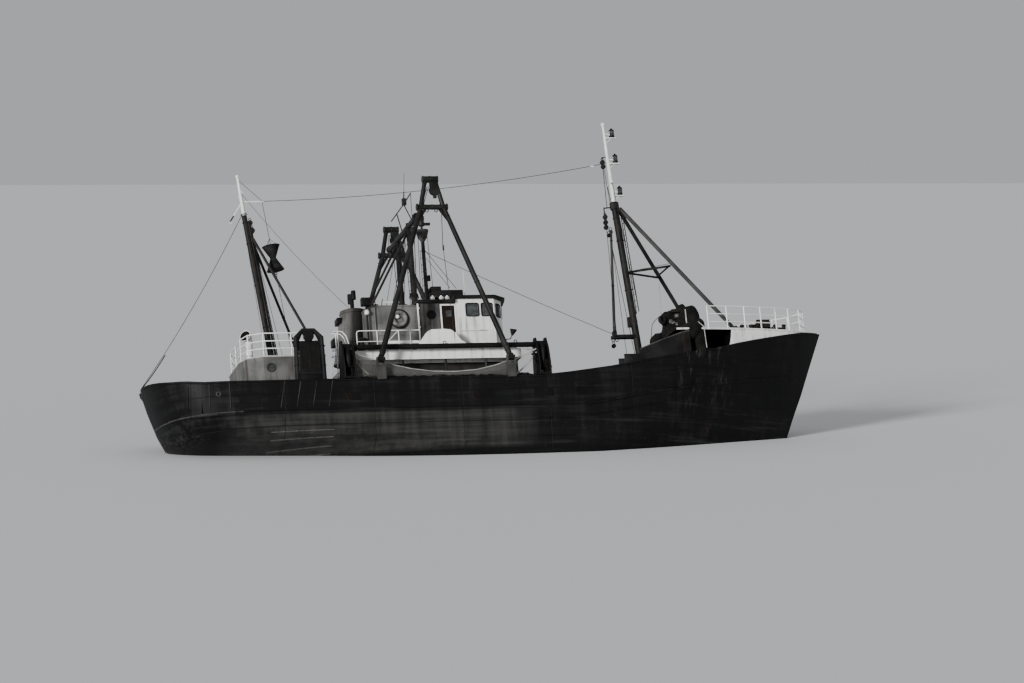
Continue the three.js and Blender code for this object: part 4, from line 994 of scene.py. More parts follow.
# Centre and radii of each bundle in the heap, and of the nets stowed under the whaleback and
# slung over its starboard edge.
NET_BUNDLES = (
    ((8.78, -0.15, 4.38), (0.76, 0.94, 0.72)), ((8.2, 0.45, 4.15), (0.5, 0.6, 0.45)),
    ((9.15, 0.35, 4.74), (0.46, 0.55, 0.72)), ((9.22, -0.15, 4.85), (0.42, 0.6, 0.72)),
    ((8.88, -0.46, 5.0), (0.37, 0.4, 0.6)), ((8.34, -0.2, 4.98), (0.36, 0.38, 0.36)),
    ((8.6, 0.1, 5.12), (0.46, 0.42, 0.36)), ((9.38, -0.25, 4.68), (0.4, 0.6, 0.6)))
STOWED_NETS = (
    ((8.5, -1.0, 2.6), (0.8, 1.0, 1.22)), ((9.4, -0.9, 2.8), (0.8, 0.9, 1.05)),
    ((10.0, 0.2, 2.95), (0.6, 1.3, 0.95)), ((9.0, 0.9, 2.7), (0.9, 0.9, 1.15)),
    ((8.86, -2.62, 3.35), (0.24, 0.28, 0.7)), ((8.7, -1.9, 3.2), (0.35, 0.6, 0.62)),
    ((8.72, -1.75, 4.5), (0.46, 0.6, 0.74)), ((8.45, -2.62, 3.95), (0.5, 0.32, 0.36)),
    ((9.0, -1.9, 4.25), (0.3, 0.5, 0.42)))


def bundle(bm, centre, radii, swell, folds, detail=4):
    """A soft bundle of netting: a ball pushed in and out by folds that hang down it."""
    part = bmesh.new()
    bmesh.ops.create_icosphere(part, subdivisions=detail, radius=1)
    centre, radii = Vector(centre), Vector(radii)
    for vert in part.verts:
        way = vert.co.normalized()
        place = Vector(a * b for a, b in zip(way, radii)) + centre
        fold = noise.noise(Vector((place.x * folds, place.y * folds, place.z * folds * 0.35)))
        lump = noise.noise(place * 1.7)
        vert.co = place + way * (fold * swell + lump * swell * 1.4)
    put(bm, part)


def hang(bm, start, end, radius, sag=0.0, steps=10):
    """A line between two points that sags by a length at its middle."""
    start, end = Vector(start), Vector(end)
    tube(bm, [start.lerp(end, k / steps) - Vector((0, 0, 4 * sag * k * (steps - k) / steps ** 2))
              for k in range(steps + 1)], radius, 6)


def hang_all(bm, *lines):
    """Lines in one mesh, each given as hang takes them."""
    for line in lines:
        hang(bm, *line)


def on_heap(angle, height):
    """A point on the outside of the heap, by the angle round it and the height."""
    (x, y, z), (long, wide, tall) = HEAP_CENTRE, HEAP_RADII
    spread = math.sqrt(max(1 - ((height - z) / tall) ** 2, 0.02))
    return Vector((x + long * spread * math.cos(angle), y + wide * spread * math.sin(angle),
                   height))


def heap_ropes(bm, count, thickness, seed):
    """Lines that wander over the heap and hang down its sides."""
    dice = random.Random(seed)
    for _ in range(count):
        angle, height = dice.uniform(0, math.tau), dice.uniform(HEAP_LOW + 0.5, HEAP_HIGH)
        turn, drop = dice.uniform(-0.16, 0.16), dice.uniform(-0.13, 0.02)
        run = []
        for _ in range(12):
            run.append(on_heap(angle, min(max(height, HEAP_LOW), HEAP_HIGH)))
            angle += turn + dice.uniform(-0.05, 0.05)
            height += drop + dice.uniform(-0.04, 0.04)
        tube(bm, run, thickness, 6)


def add_nets():
    bm = bmesh.new()
    for centre, radii in NET_BUNDLES:
        bundle(bm, centre, radii, 0.07, 5.5)
    bmesh.ops.bisect_plane(bm, geom=bm.verts[:] + bm.edges[:] + bm.faces[:],
                           plane_co=(9, 0, 4.0), plane_no=(-0.05, 0, 1), clear_inner=True)
    close_up(bm, False)
    add_piece("net_heap", bm, DARK_NET, replaces=["gear_heap"], crease=180)
    bm = bmesh.new()
    for centre, radii in STOWED_NETS:
        bundle(bm, centre, radii, 0.05, 4.0)
    add_piece("stowed_nets", bm, DARK_NET, crease=180)


def add_heap_lines():
    """Dark lines, coils and a ring on the heap, and pale ropes that lash it or hang from it."""
    bm = bmesh.new()
    heap_ropes(bm, 26, 0.02, 11)
    for k, (radius, height) in enumerate(((0.3, 5.5), (0.26, 5.45), (0.33, 4.75))):
        centre = on_heap(-2.2 + 1.1 * k, height - 0.25)
        for turn in range(3):
            hoop(bm, centre + Vector((0, 0, 0.045 * turn)), (0.1 * k, -0.2, 1),
                 radius - 0.02 * turn, 0.028, 20, 6)
    hoop(bm, (7.95, -0.55, 4.92), (0.3, -1, 0.1), 0.14, 0.07, 24, 8)
    hang_all(bm, ((7.35, -0.6, 3.95), (7.5, -0.5, 4.75), 0.014, -0.08),
             ((7.5, -0.5, 4.75), (7.8, -0.5, 5.05), 0.014, -0.02))
    add_piece("heap_lines_dark", bm, DARK_ROPE, crease=60)
    bm = bmesh.new()
    heap_ropes(bm, 5, 0.015, 5)
    for radius, points in (
            (0.03, [(8.22, -0.6, 4.0), (8.16, -0.62, 4.55)]),
            (0.03, [(8.4, -0.3, 5.28), (8.8, -0.36, 5.42)]),
            (0.028, [(8.43, -2.27, 4.15), (8.41, -2.3, 4.5), (8.45, -2.18, 4.95)]),
            (0.018, [(8.9, -2.4, 4.35), (8.96, -2.86, 4.02), (8.98, -2.92, 3.1)]),
            (0.022, [(8.45, 0.9, 6.95), (8.2, 0.3, 5.2)])):
        tube(bm, points, radius)
    add_piece("heap_lines_pale", bm, PALE_ROPE, crease=60)


add_nets()
add_heap_lines()


def floats_material():
    """Scuffed dark plastic."""
    material, at = new_material("net_floats")
    scuff = at.noise(8, detail=6)
    lay_on(at, scuff.ramp(0.45, 0.6).blend((0.05, 0.05, 0.048), (0.16, 0.155, 0.145)),
           scuff.ramp(0.3, 0.7, 0.35, 0.7), scuff, 0.3, 0.004)
    return material


def add_floats():
    """Floats caught in the seaward side of the heap."""
    bm = bmesh.new()
    dice = random.Random(3)
    half_turn = [math.pi * (k / 8 - 0.5) for k in range(9)]
    for _ in range(9):
        place = on_heap(dice.uniform(-2.8, -0.5), dice.uniform(4.15, 5.05))
        lathe(bm, [(0.1 * math.cos(a), 0.1 * math.sin(a)) for a in half_turn],
              place, (dice.uniform(-1, 1), -1, 0.4), 16)
    add_piece("net_floats", bm, floats_material())


add_floats()


# Lower deckhouse and boat deck. White steel house on the main deck with round lights and iron
# doors, and over it a boat deck on pipe posts, with a deep white fascia and a planked top.

LIGHT_RADIUS = 0.15
BOAT_DECK_Z = 3.3
GLASS_FRAMES = painted_steel("frame_grey", (0.02, 0.02, 0.02), (0.045, 0.045, 0.044), rust=0.3)


def window_glass():
    """Dark glass with salt on it. The house behind is unlit."""
    material, at = new_material("window_glass")
    salt = at.noise(6, detail=6, rough=0.6)
    lay_on(at, salt.ramp(0.35, 0.7).blend((0.022, 0.024, 0.025), (0.07, 0.073, 0.075)),
           salt.ramp(0.4, 0.8, 0.06, 0.35), Coat_Weight=0.4)
    return material


GLASS = window_glass()


def round_light(frames, panes, place, out):
    """A round light in a wall that faces out: rim, drip lip and glass."""
    place, out, r = Vector(place), Vector(out), LIGHT_RADIUS
    lathe(frames, [(r - 0.01, -0.02), (r - 0.01, 0.03), (r + 0.035, 0.03), (r + 0.045, 0.0),
                   (r + 0.045, -0.02)], place, out, 24)
    disc(panes, r, -0.008, 0.004, place - out * 0.02, out)


def iron_door(bm, x0, x1, wall, side, low, high):
    """A plated weather door with a stiffened edge and six dogs."""
    ys = sorted((wall, wall + side * 0.035))
    block(bm, (x0 + 0.004, ys[0], low + 0.004), (x1 - 0.004, ys[1], high - 0.004), 0.012)
    proud = sorted((wall + side * 0.03, wall + side * 0.05))
    block(bm, (x0 + 0.09, proud[0], low + 0.12), (x1 - 0.09, proud[1], high - 0.12), 0.01)
    for z in (low + 0.25, (low + high) / 2, high - 0.25):
        for start, end in ((x0, x0 + 0.13), (x1 - 0.13, x1 - 0.01)):
            tube(bm, [(start, wall + side * 0.05, z), (end, wall + side * 0.065, z)], 0.016)


def add_lower_house():
    frames, panes, doors = bmesh.new(), bmesh.new(), bmesh.new()
    for side in (-1, 1):
        for x in (-4.7, -3.3, -0.9):
            round_light(frames, panes, (x, side * 1.75, 2.1), (0, side, 0))
        iron_door(doors, -2.6, -1.95, side * 1.69, side, 1.0, 2.7)
    for y in (-1.1, 0, 1.1):
        round_light(frames, panes, (0.6, y, 2.1), (1, 0, 0))
    add_piece("lower_house_frames", frames, GLASS_FRAMES)
    add_piece("lower_house_glass", panes, GLASS)
    add_piece("lower_house_doors", doors, GLASS_FRAMES)


add_lower_house()
# The house's white walls under the boat deck are given a near-black grey as painted shade, with
# runs of dirt and rust.
dress(painted_steel("lower_house_painted_shade", (0.014, 0.014, 0.0135), (0.035, 0.034, 0.032), rust=0.6,
                    dirt=0.6), "lower_house")


def boat_deck_surface():
    """Worn planks above, white paint on the fascia, and near black underneath and on the posts as
    painted shade.
    """
    material, at = new_material("boat_deck")
    _, y, z = at.axes()
    patch, grit = at.noise(1.1, detail=5), at.noise(24, detail=5, rough=0.7)
    runs = at.noise(3.2, stretch=(1.3, 1.3, 0.12), detail=6, rough=0.6)
    top = z > BOAT_DECK_Z - 0.005
    white = (runs.ramp(0.5, 0.7) * 0.45).blend((0.7, 0.7, 0.68), (0.24, 0.23, 0.21))
    pits = (grit * 0.45 + runs * 0.55).ramp(0.56, 0.63)
    white = (pits * 0.7).blend(white, (0.1, 0.05, 0.03))
    board = (y % PLANK).near(PLANK / 2, 0.008)
    wood = patch.ramp(0.4, 0.6).blend((0.15, 0.13, 0.105), (0.085, 0.074, 0.06))
    wood = board.blend(wood, (0.012, 0.011, 0.01))
    # Below the fascia, the deck's underside and the posts are painted near black as painted shade.
    white = (z < 2.91).blend(white, (0.014, 0.014, 0.0135))
    lay_on(at, top.blend(white, wood), patch.ramp(0.3, 0.7, 0.45, 0.75),
           patch * 0.4 + grit * 0.15 + board * top * -0.8, 0.5, 0.012)
    return material


dress(boat_deck_surface(), "boat_deck")


# Boat deck rails and dodgers. White pipe rails stand along the after part of the boat deck, a
# plated screen with a rounded top shelters the wheelhouse door, and an iron ladder leads down.

def add_boat_rail(side, word):
    bm = bmesh.new()
    y, low = side * 2.54, BOAT_DECK_Z
    for x in (-5.0, -4.1, -3.62):
        lathe(bm, [(0, 0), (0.055, 0), (0.055, 0.012), (0.024, 0.012)], (x, y, low), steps=14)
        tube(bm, [(x, y, low), (x, y, low + 0.84)], 0.019)
    bend = [(-5.85, y, low), (-5.85, y, low + 0.75), (-5.82, y, low + 0.82),
            (-5.74, y, low + 0.85), (-3.2, y, low + 0.85)]
    tube(bm, bend, 0.019)
    tube(bm, [(-5.85, y, low + 0.4), (-3.3, y, low + 0.4)], 0.015)
    tube(bm, [(-4.55, y, low + 0.4), (-4.12, y, low + 0.84)], 0.013)
    block(bm, (-4.6, y - 0.01, low + 0.3), (-3.2, y + 0.01, low + 0.4), 0.004)
    add_piece("boat_rail_pipes_" + word, bm, RAIL_WHITE,
              replaces=["boat_rail_" + word])


DODGER_OUTLINE = (
    (-3.38, 3.3), (-3.3, 3.52), (-2.98, 3.96), (-2.86, 4.08), (-2.7, 4.15), (-2.2, 4.17),
    (-1.9, 4.14), (-1.72, 4.02), (-1.5, 3.7), (-1.2, 3.5), (0.7, 3.45), (0.85, 3.3))


def add_dodger(side, word):
    """The plated screen, its round edge bar and three stays behind it."""
    bm = bmesh.new()
    plate(bm, [(x, side * 2.535, z) for x, z in DODGER_OUTLINE], (0, side * 0.012, 0))
    tube(bm, [(x, side * 2.541, z) for x, z in DODGER_OUTLINE], 0.016)
    for x in (-2.9, -2.2, -0.4):
        plate(bm, [(x, side * 2.53, 3.3), (x, side * 2.53, 3.45), (x, side * 2.34, 3.3)],
              (0.01, 0, 0))
    add_piece("dodger_" + word, bm, WHITE_PAINT)


for side, word in SIDES:
    add_boat_rail(side, word)
    add_dodger(side, word)


def add_deck_ladder():
    """Iron ladder from the main deck up to the after edge of the boat deck, with grab hoops."""
    bm = bmesh.new()
    for y in (-1.9, -1.5):
        tube(bm, [(-6.5, y, 0.82), (-6.5, y, 4.3)], 0.022)
        tube(bm, [(-5.93, y, 3.28), (-6.05, y, 3.75), (-6.16, y, 4.12), (-6.3, y, 4.28),
                  (-6.5, y, 4.32), (-6.68, y, 4.3)], 0.022)
    for k in range(11):
        tube(bm, [(-6.5, -1.9, 1.05 + 0.26 * k), (-6.5, -1.5, 1.05 + 0.26 * k)], 0.014)
    add_piece("deck_ladder", bm, RAIL_WHITE)


add_deck_ladder()


# Wheelhouse. Welded white steel, its after part painted grey, with rounded windows set in black
# rims, and a varnished wooden door that is hinged in a white frame.

WINDOW_SILL_Z, WINDOW_HEAD_Z = 4.86, 5.42


def wheelhouse_paint():
    """White forward of the door, dark grey aft of it, with rust at the sills and edges."""
    material, at = new_material("wheelhouse_paint")
    x, _, z = at.axes()
    patch, grit = at.noise(1.3, detail=5), at.noise(30, detail=5, rough=0.7)
    runs = at.noise(4.0, stretch=(1.5, 1.5, 0.1), detail=6, rough=0.6)
    white = patch.ramp(0.35, 0.65).blend((0.64, 0.64, 0.62), (0.76, 0.76, 0.74))
    grey = (patch * 0.5 + runs * 0.5).ramp(0.4, 0.62).blend((0.01, 0.01, 0.01),
                                                            (0.075, 0.075, 0.073))
    tone = (x < -1.45).blend(white, grey)
    below_sill = z.ramp(WINDOW_SILL_Z, 3.9, 1.0, 0.2) * (z < WINDOW_SILL_Z)
    stain = runs.ramp(0.5, 0.68) * (below_sill * 0.45 + 0.15)
    tone = stain.blend(tone, (0.13, 0.105, 0.08))
    pits = (grit * 0.5 + runs * 0.5).ramp(0.575, 0.64)
    tone = (pits * 0.7).blend(tone, (0.09, 0.045, 0.027))
    seam = (x % 1.2).near(0.6, 0.01)
    lay_on(at, tone, patch.ramp(0.3, 0.7, 0.35, 0.6), patch * 0.5 + seam * 0.35 + pits * -0.3,
           0.5, 0.01)
    return material


def window_rim(bm, corners, proud, thick, cut=0.07):
    """A frame of square bar round a window, its corners rounded by short chords."""
    run = []
    for i, corner in enumerate(corners):
        before, after = Vector(corners[i - 1]), Vector(corners[(i + 1) % len(corners)])
        corner = Vector(corner)
        run.append(corner + (before - corner).normalized() * cut + proud)
        run.append(corner + (before + after - 2 * corner).normalized() * cut * 0.42 + proud)
        run.append(corner + (after - corner).normalized() * cut + proud)
    tube(bm, [*run, run[0]], thick, 8)


def window_corners(a, b):
    """The four corners of a window between two upright edges."""
    return [(*a, WINDOW_SILL_Z), (*b, WINDOW_SILL_Z), (*b, WINDOW_HEAD_Z), (*a, WINDOW_HEAD_Z)]


# Each window's two upright edges in plan, starboard ones; the others are mirrored.
WINDOW_EDGES = (
    ((-1.02, -1.9), (-0.46, -1.9)), ((-0.36, -1.9), (0.13, -1.9)), ((0.28, -1.81), (0.54, -1.54)),
    ((0.64, -1.38), (0.7, -0.72)), ((0.72, -0.54), (0.72, -0.06)))


def add_windows():
    frames, panes = bmesh.new(), bmesh.new()
    for edge_a, edge_b in WINDOW_EDGES:
        for side in (1, -1):
            a, b = ((x, side * y) for x, y in (edge_a, edge_b))
            corners = window_corners(a, b)
            way = Vector((b[0] - a[0], b[1] - a[1], 0)).normalized()
            out = Vector((way.y, -way.x, 0)) * side
            window_rim(frames, corners, out * 0.006, 0.02)
            plate(panes, [Vector(c) - out * 0.035 for c in corners], out * 0.008)
    for side in (-1, 1):
        # The round lights' panes are made in the black as well, as painted shade of the unlit house
        # behind.
        round_light(frames, frames, (-2.5, side * 1.9, 4.95), (0, side, 0))
    add_piece("wheelhouse_window_frames", frames, BLACK_PAINT_AND_SHADE)
    add_piece("wheelhouse_window_glass", panes, GLASS)


add_windows()
dress(wheelhouse_paint(), "wheelhouse")


def teak(name, light, dark):
    """Varnished wood, its grain running up and down, with worn patches."""
    material, at = new_material(name)
    grain = at.noise(14, stretch=(3.0, 3.0, 0.2), detail=6, rough=0.6)
    wear = at.noise(3, detail=4)
    lay_on(at, grain.ramp(0.35, 0.65).blend(dark, light), wear.ramp(0.4, 0.6, 0.25, 0.55),
           grain, 0.35, 0.004)
    return material


TEAK = teak("varnished_teak", (0.016, 0.01, 0.0075), (0.005, 0.0038, 0.0034))
HOUSE_SIDE_Y = -1.9
DOOR_LIGHT = ((-1.9, 4.85), (-1.63, 4.85), (-1.63, 5.15), (-1.9, 5.15))


def add_door_details():
    """Panel beads, glass and a handle on the leaf; white jambs, head and sill on the house."""
    bm = bmesh.new()
    for low, high in ((3.62, 4.02), (4.12, 4.68)):
        block(bm, (-1.95, -1.905, low), (-1.6, -1.889, high), 0.006)
    window_rim(bm, [(x, -1.893, z) for x, z in DOOR_LIGHT], Vector((0, 0, 0)), 0.014, 0.03)
    add_piece("door_panels", bm, TEAK, "door")
    bm = bmesh.new()
    plate(bm, [(x, -1.88, z) for x, z in DOOR_LIGHT], (0, 0.008, 0))
    add_piece("door_glass", bm, GLASS, "door")
    bm = bmesh.new()
    tube(bm, [(-1.56, y, z) for y, z in
              ((-1.895, 4.3), (-1.935, 4.3), (-1.935, 4.46), (-1.895, 4.46))], 0.01)
    add_piece("door_handle", bm, IRON, "door")
    bm = bmesh.new()
    for x in (-2.085, -1.475):
        block(bm, (x - 0.03, -1.925, 3.44), (x + 0.03, HOUSE_SIDE_Y, 5.38), 0.008)
    block(bm, (-2.115, -1.93, 5.33), (-1.445, HOUSE_SIDE_Y, 5.39), 0.008)
    block(bm, (-2.09, -1.93, 3.42), (-1.45, HOUSE_SIDE_Y, 3.47), 0.008)
    add_piece("door_frame", bm, RAIL_WHITE)


add_door_details()
dress(TEAK, "wheelhouse_door", "helm_console")


# Wheelhouse roof. A steel roof with a turned-down visor, a locker on legs, three lamps and a
# rope coil, with a horn bracketed to the house's front corner and pipes on its starboard wall.

FORE_ROOF_Z, AFT_ROOF_Z = 5.72, 5.55
HORN_PLACE, HORN_AXIS = (0.95, -1.62, 4.06), (0.25, -0.2, 1)
FORE_ROOF = ((-1.5, -2.02), (0.24, -2.02), (0.78, -1.5), (0.92, -0.62), (0.92, 0.62),
             (0.78, 1.5), (0.24, 2.02), (-1.5, 2.02))
AFT_ROOF = ((-3.1, -2.02), (-1.5, -2.02), (-1.5, 2.02), (-3.1, 2.02))
MAST_BLACK = painted_steel("spar_black", (0.005, 0.005, 0.005), (0.02, 0.0195, 0.019), rust=0.35,
                           dirt=0.25, rough=(0.4, 0.65))
ROOF_GREY = painted_steel("roof_grey", (0.006, 0.006, 0.006), (0.02, 0.02, 0.0195), rust=0.4)
SPAR_WHITE = painted_steel("spar_white", (0.66, 0.66, 0.64), (0.78, 0.78, 0.76), rust=0.5,
                           dirt=0.3)


def lamp_lens():
    """Ribbed lamp glass, unlit."""
    material, at = new_material("lamp_lens")
    z = at.axes()[2]
    rib = (z % 0.02).near(0.01, 0.006)
    dust = at.noise(20, detail=4)
    lay_on(at, dust.ramp(0.4, 0.7).blend((0.32, 0.33, 0.33), (0.5, 0.5, 0.48)),
           dust.ramp(0.3, 0.7, 0.1, 0.4), rib, 0.6, 0.004, Coat_Weight=0.3)
    return material


LENS = lamp_lens()


def lantern(cases, lenses, x, y, z, size):
    """A mast lamp: drum-shaped case with a cowl, a ribbed lens and four guard bars."""
    s = size
    for mesh, profile in (
            (cases, ((0, -0.13), (0.085, -0.13), (0.09, -0.1), (0.09, -0.075), (0, -0.075))),
            (cases, ((0, 0.075), (0.09, 0.075), (0.08, 0.115), (0.035, 0.14), (0.03, 0.17),
                     (0, 0.17))),
            (lenses, ((0, -0.074), (0.078, -0.074), (0.082, 0), (0.078, 0.074), (0, 0.074)))):
        lathe(mesh, [(radius * s, along * s) for radius, along in profile], (x, y, z), steps=18)
    for angle in (0.8, 2.4, 4.0, 5.5):
        dx, dy = 0.088 * s * math.cos(angle), 0.088 * s * math.sin(angle)
        tube(cases, [(x + dx, y + dy, z - 0.09 * s), (x + dx, y + dy, z + 0.09 * s)], 0.005, 6)


def add_roof_lamps():
    cases, lenses = bmesh.new(), bmesh.new()
    for x in (-2.05, -1.68, -1.42):
        lantern(cases, lenses, x, -0.55, 5.93, 1.1)
        tube(cases, [(x, -0.55, AFT_ROOF_Z), (x, -0.55, 5.8)], 0.03)
    lathe(cases, [(0.155, 0.29), (0.165, 0.3), (0.155, 0.31)], HORN_PLACE, HORN_AXIS, 22)
    tube(cases, [(-0.5, 0, FORE_ROOF_Z), (-0.5, 0, 7.35)], 0.014, 6)
    add_piece("roof_lamp_cases", cases, SPAR_WHITE)
    add_piece("roof_lamp_lenses", lenses, LENS)


def roof_edges(bm):
    """Round bars along the upper and lower edge of both parts of the roof."""
    for outline, low, high in ((FORE_ROOF, 5.605, FORE_ROOF_Z), (AFT_ROOF, 5.445, AFT_ROOF_Z)):
        for z, radius in ((high, 0.026), (low + 0.02, 0.018)):
            ring = [(x, y, z) for x, y in outline]
            tube(bm, [*ring, ring[0]], radius, 8)


def add_roof_locker():
    """The locker on four legs with its slatted side, a mushroom vent, and the horn."""
    bm = bmesh.new()
    roof_edges(bm)
    for x, roof in ((-1.9, AFT_ROOF_Z), (-0.8, FORE_ROOF_Z)):
        for y in (-0.3, 0.3):
            tube(bm, [(x, y, roof), (x, y, 6.12)], 0.022)
    block(bm, (-2.02, -0.35, 6.08), (-0.66, 0.35, 6.42), 0.02)
    block(bm, (-2.05, -0.38, 6.41), (-1.6, 0.38, 6.57), 0.02)
    for k in range(5):
        x = -1.5 + 0.17 * k
        block(bm, (x, -0.36, 6.12), (x + 0.03, -0.35, 6.38), 0.003)
    lathe(bm, [(0.1, 0), (0.1, 0.16), (0.15, 0.2), (0.17, 0.28), (0, 0.3)],
          (-0.1, 0.9, FORE_ROOF_Z))
    lathe(bm, [(0, 0.02), (0.05, 0.02), (0.05, 0.06), (0.09, 0.12), (0.16, 0.3), (0.145, 0.3),
               (0.07, 0.13), (0, 0.1)], HORN_PLACE, HORN_AXIS, 22)
    tube(bm, [(0.66, -1.46, 3.95), (0.88, -1.58, 3.95), (0.95, -1.62, 4.1)], 0.022)
    add_piece("roof_locker", bm, ROOF_GREY)


def add_roof_rope():
    bm = bmesh.new()
    for k in range(5):
        hoop(bm, (0.3, -0.8, 5.75 + 0.035 * k), (0.03, 0.02 * k, 1), 0.24 - 0.012 * k, 0.02)
    tube(bm, [(0.3, -1.05, 5.78), (0.1, -1.2, 5.75), (-0.5, -1.3, 5.74), (-1.0, -0.5, 5.74)],
         0.018, 8)
    add_piece("roof_rope", bm, PALE_ROPE, crease=60)


def add_wheelhouse_pipes():
    """A clipped down pipe at the after corner and a grab rail under the windows."""
    bm = bmesh.new()
    tube(bm, [(-3.06, -1.93, 3.45), (-3.06, -1.93, 5.42)], 0.035)
    for z in (3.6, 4.4, 5.2):
        block(bm, (-3.09, -1.96, z), (-3.0, -1.89, z + 0.05), 0.006)
    tube(bm, [(-1.4, -1.96, 4.25), (-0.2, -1.96, 4.25)], 0.018)
    for x in (-1.35, -0.8, -0.25):
        tube(bm, [(x, -1.89, 4.25), (x, -1.96, 4.25)], 0.012)
    add_piece("wheelhouse_pipes", bm, SPAR_WHITE)


add_roof_lamps()
add_roof_locker()
add_roof_rope()
add_wheelhouse_pipes()
dress(ROOF_GREY, "wheelhouse_roof")


# Engine casing and funnel. A grey steel casing aft of the wheelhouse, with a lifebuoy on its
# side, and the funnel behind it with a capped exhaust on a cross pipe.

CASING_GREY = painted_steel("casing_grey", (0.075, 0.075, 0.073), (0.16, 0.157, 0.15),
                            rust=0.9, dirt=0.8)


def funnel_paint():
    """Grey paint, blackened by soot towards the top and streaked with rust from the rim, with
    painted shade over its forward part.
    """
    material, at = new_material("funnel_paint")
    x, _, z = at.axes()
    patch = at.noise(1.5, detail=5)
    runs = at.noise(5.0, stretch=(1.6, 1.6, 0.08), detail=6, rough=0.6)
    grit = at.noise(26, detail=5, rough=0.7)
    tone = patch.ramp(0.35, 0.65).blend((0.07, 0.07, 0.068), (0.12, 0.118, 0.113))
    soot = z.ramp(4.9, 5.7) * 0.5 + (z > 5.64) * 0.5
    tone = (soot * runs.ramp(0.3, 0.6, 0.5, 1.0)).blend(tone, (0.02, 0.02, 0.02))
    rust = runs.ramp(0.54, 0.66) * z.ramp(3.4, 5.4, 0.25, 0.8)
    tone = rust.blend(tone, (0.075, 0.045, 0.03))
    pits = (grit * 0.5 + runs * 0.5).ramp(0.56, 0.63)
    tone = (pits * 0.6).blend(tone, (0.05, 0.03, 0.022))
    # The funnel's forward part is painted darker as painted shade, its after part left lighter.
    fore_painted_shade = (x + z * -0.14 + patch * 0.25).ramp(-6.3, -6.1) * 0.9
    tone = fore_painted_shade.blend(tone, (0.014, 0.014, 0.0135))
    tone = (z > 5.66).blend(tone, (0.005, 0.005, 0.005))
    lay_on(at, tone, patch.ramp(0.3, 0.7, 0.45, 0.7), patch * 0.4 + pits * -0.4, 0.5, 0.012)
    return material


# Place along the ship, height, and the half length and half width of the ring there.
FUNNEL_FOOT = (-5.7, BOAT_DECK_Z, 0.62, 0.66)
FUNNEL_HEAD = (-5.38, 5.6, 0.52, 0.6)
EXHAUST_Z = 6.26


def funnel_ring(z, factor):
    """A ring round the raked, tapered funnel at a height, grown by a factor."""
    share = (z - FUNNEL_FOOT[1]) / (FUNNEL_HEAD[1] - FUNNEL_FOOT[1])
    x, _, long, wide = (a + (b - a) * share for a, b in zip(FUNNEL_FOOT, FUNNEL_HEAD))
    return [Vector((x + long * factor * math.cos(a), wide * factor * math.sin(a), z))
            for a in [math.tau * k / 48 for k in range(49)]]


def add_funnel():
    """The shell with its foot, bands and rim, and the exhaust that ends in a cross pipe."""
    bm = bmesh.new()
    profile = [(0.0, 3.32), (1.0, 3.32), (1.035, 3.33), (1.035, 3.39), (1.0, 3.41), (1.0, 4.6),
               (1.0, 5.46), (1.05, 5.48), (1.05, 5.6), (1.03, 5.62), (0.93, 5.62), (0.9, 5.6),
               (0.9, 5.3), (0.0, 5.3)]
    loft(bm, [funnel_ring(z, factor) for factor, z in profile])
    close_up(bm)
    for z in (4.0, 4.8):
        part = bmesh.new()
        loft(part, [funnel_ring(z + rise, factor) for rise, factor in
                    ((-0.03, 0.98), (-0.03, 1.02), (0.03, 1.02), (0.03, 0.98))])
        close_up(part)
        put(bm, part)
    x = FUNNEL_HEAD[0]
    lathe(bm, [(0, 5.25), (0.1, 5.25), (0.1, 5.34), (0.085, 5.36), (0.085, 6.24), (0, 6.24)],
          (x, 0, 0))
    tube(bm, [(x, -0.38, EXHAUST_Z), (x, 0.38, EXHAUST_Z)], 0.08, 16)
    for y, top in ((-0.37, 0.16), (0.37, 0.2)):
        lathe(bm, [(0, -0.22), (0.095, -0.22), (0.1, -0.2), (0.1, top - 0.04),
                   (0.085, top), (0, top)], (x, y, EXHAUST_Z), steps=20)
    add_piece("funnel_shell", bm, funnel_paint(), replaces=["funnel"])


def add_funnel_fittings():
    """Rungs up the after side of the funnel and two boxes on it."""
    bm = bmesh.new()
    for k in range(7):
        z = 3.7 + 0.27 * k
        x = -6.2 + 0.18 * (z - 4.0)
        tube(bm, [(x, -0.12, z), (x - 0.12, -0.12, z), (x - 0.12, 0.12, z), (x, 0.12, z)],
             0.013, 6)
    block(bm, (-6.12, -0.3, 5.05), (-5.86, 0.3, 5.3), 0.02)
    block(bm, (-6.36, -0.24, 4.1), (-6.02, 0.24, 4.42), 0.02)
    add_piece("funnel_fittings", bm, BLACK_PAINT)


add_funnel()
add_funnel_fittings()
dress(CASING_GREY, "casing")


def lifebuoy_material():
    """Canvas-covered cork, its paint greyed by soot."""
    material, at = new_material("lifebuoy")
    weave = at.noise(60, detail=2)
    tone = at.noise(5, detail=5).ramp(0.35, 0.65).blend((0.06, 0.059, 0.056), (0.2, 0.197, 0.19))
    lay_on(at, tone, 0.7, weave, 0.3, 0.003)
    return material


def add_lifebuoy():
    """The lifebuoy and its grab line, hung on the starboard side."""
    bm = bmesh.new()
    hoop(bm, (0, 0, 0), (0, 0, 1), 0.27, 0.085, 40, 16)
    bm.transform(Matrix.Translation((-3.84, -1.8, 4.83)) @ Matrix.Rotation(math.pi / 2, 4, "X"))
    add_piece("lifebuoy", bm, lifebuoy_material())
    bm = bmesh.new()
    hoop(bm, (-3.84, -1.79, 4.83), (0, 1, 0), 0.385, 0.028, 36, 8)
    add_piece("lifebuoy_line", bm, DARK_ROPE, crease=60)


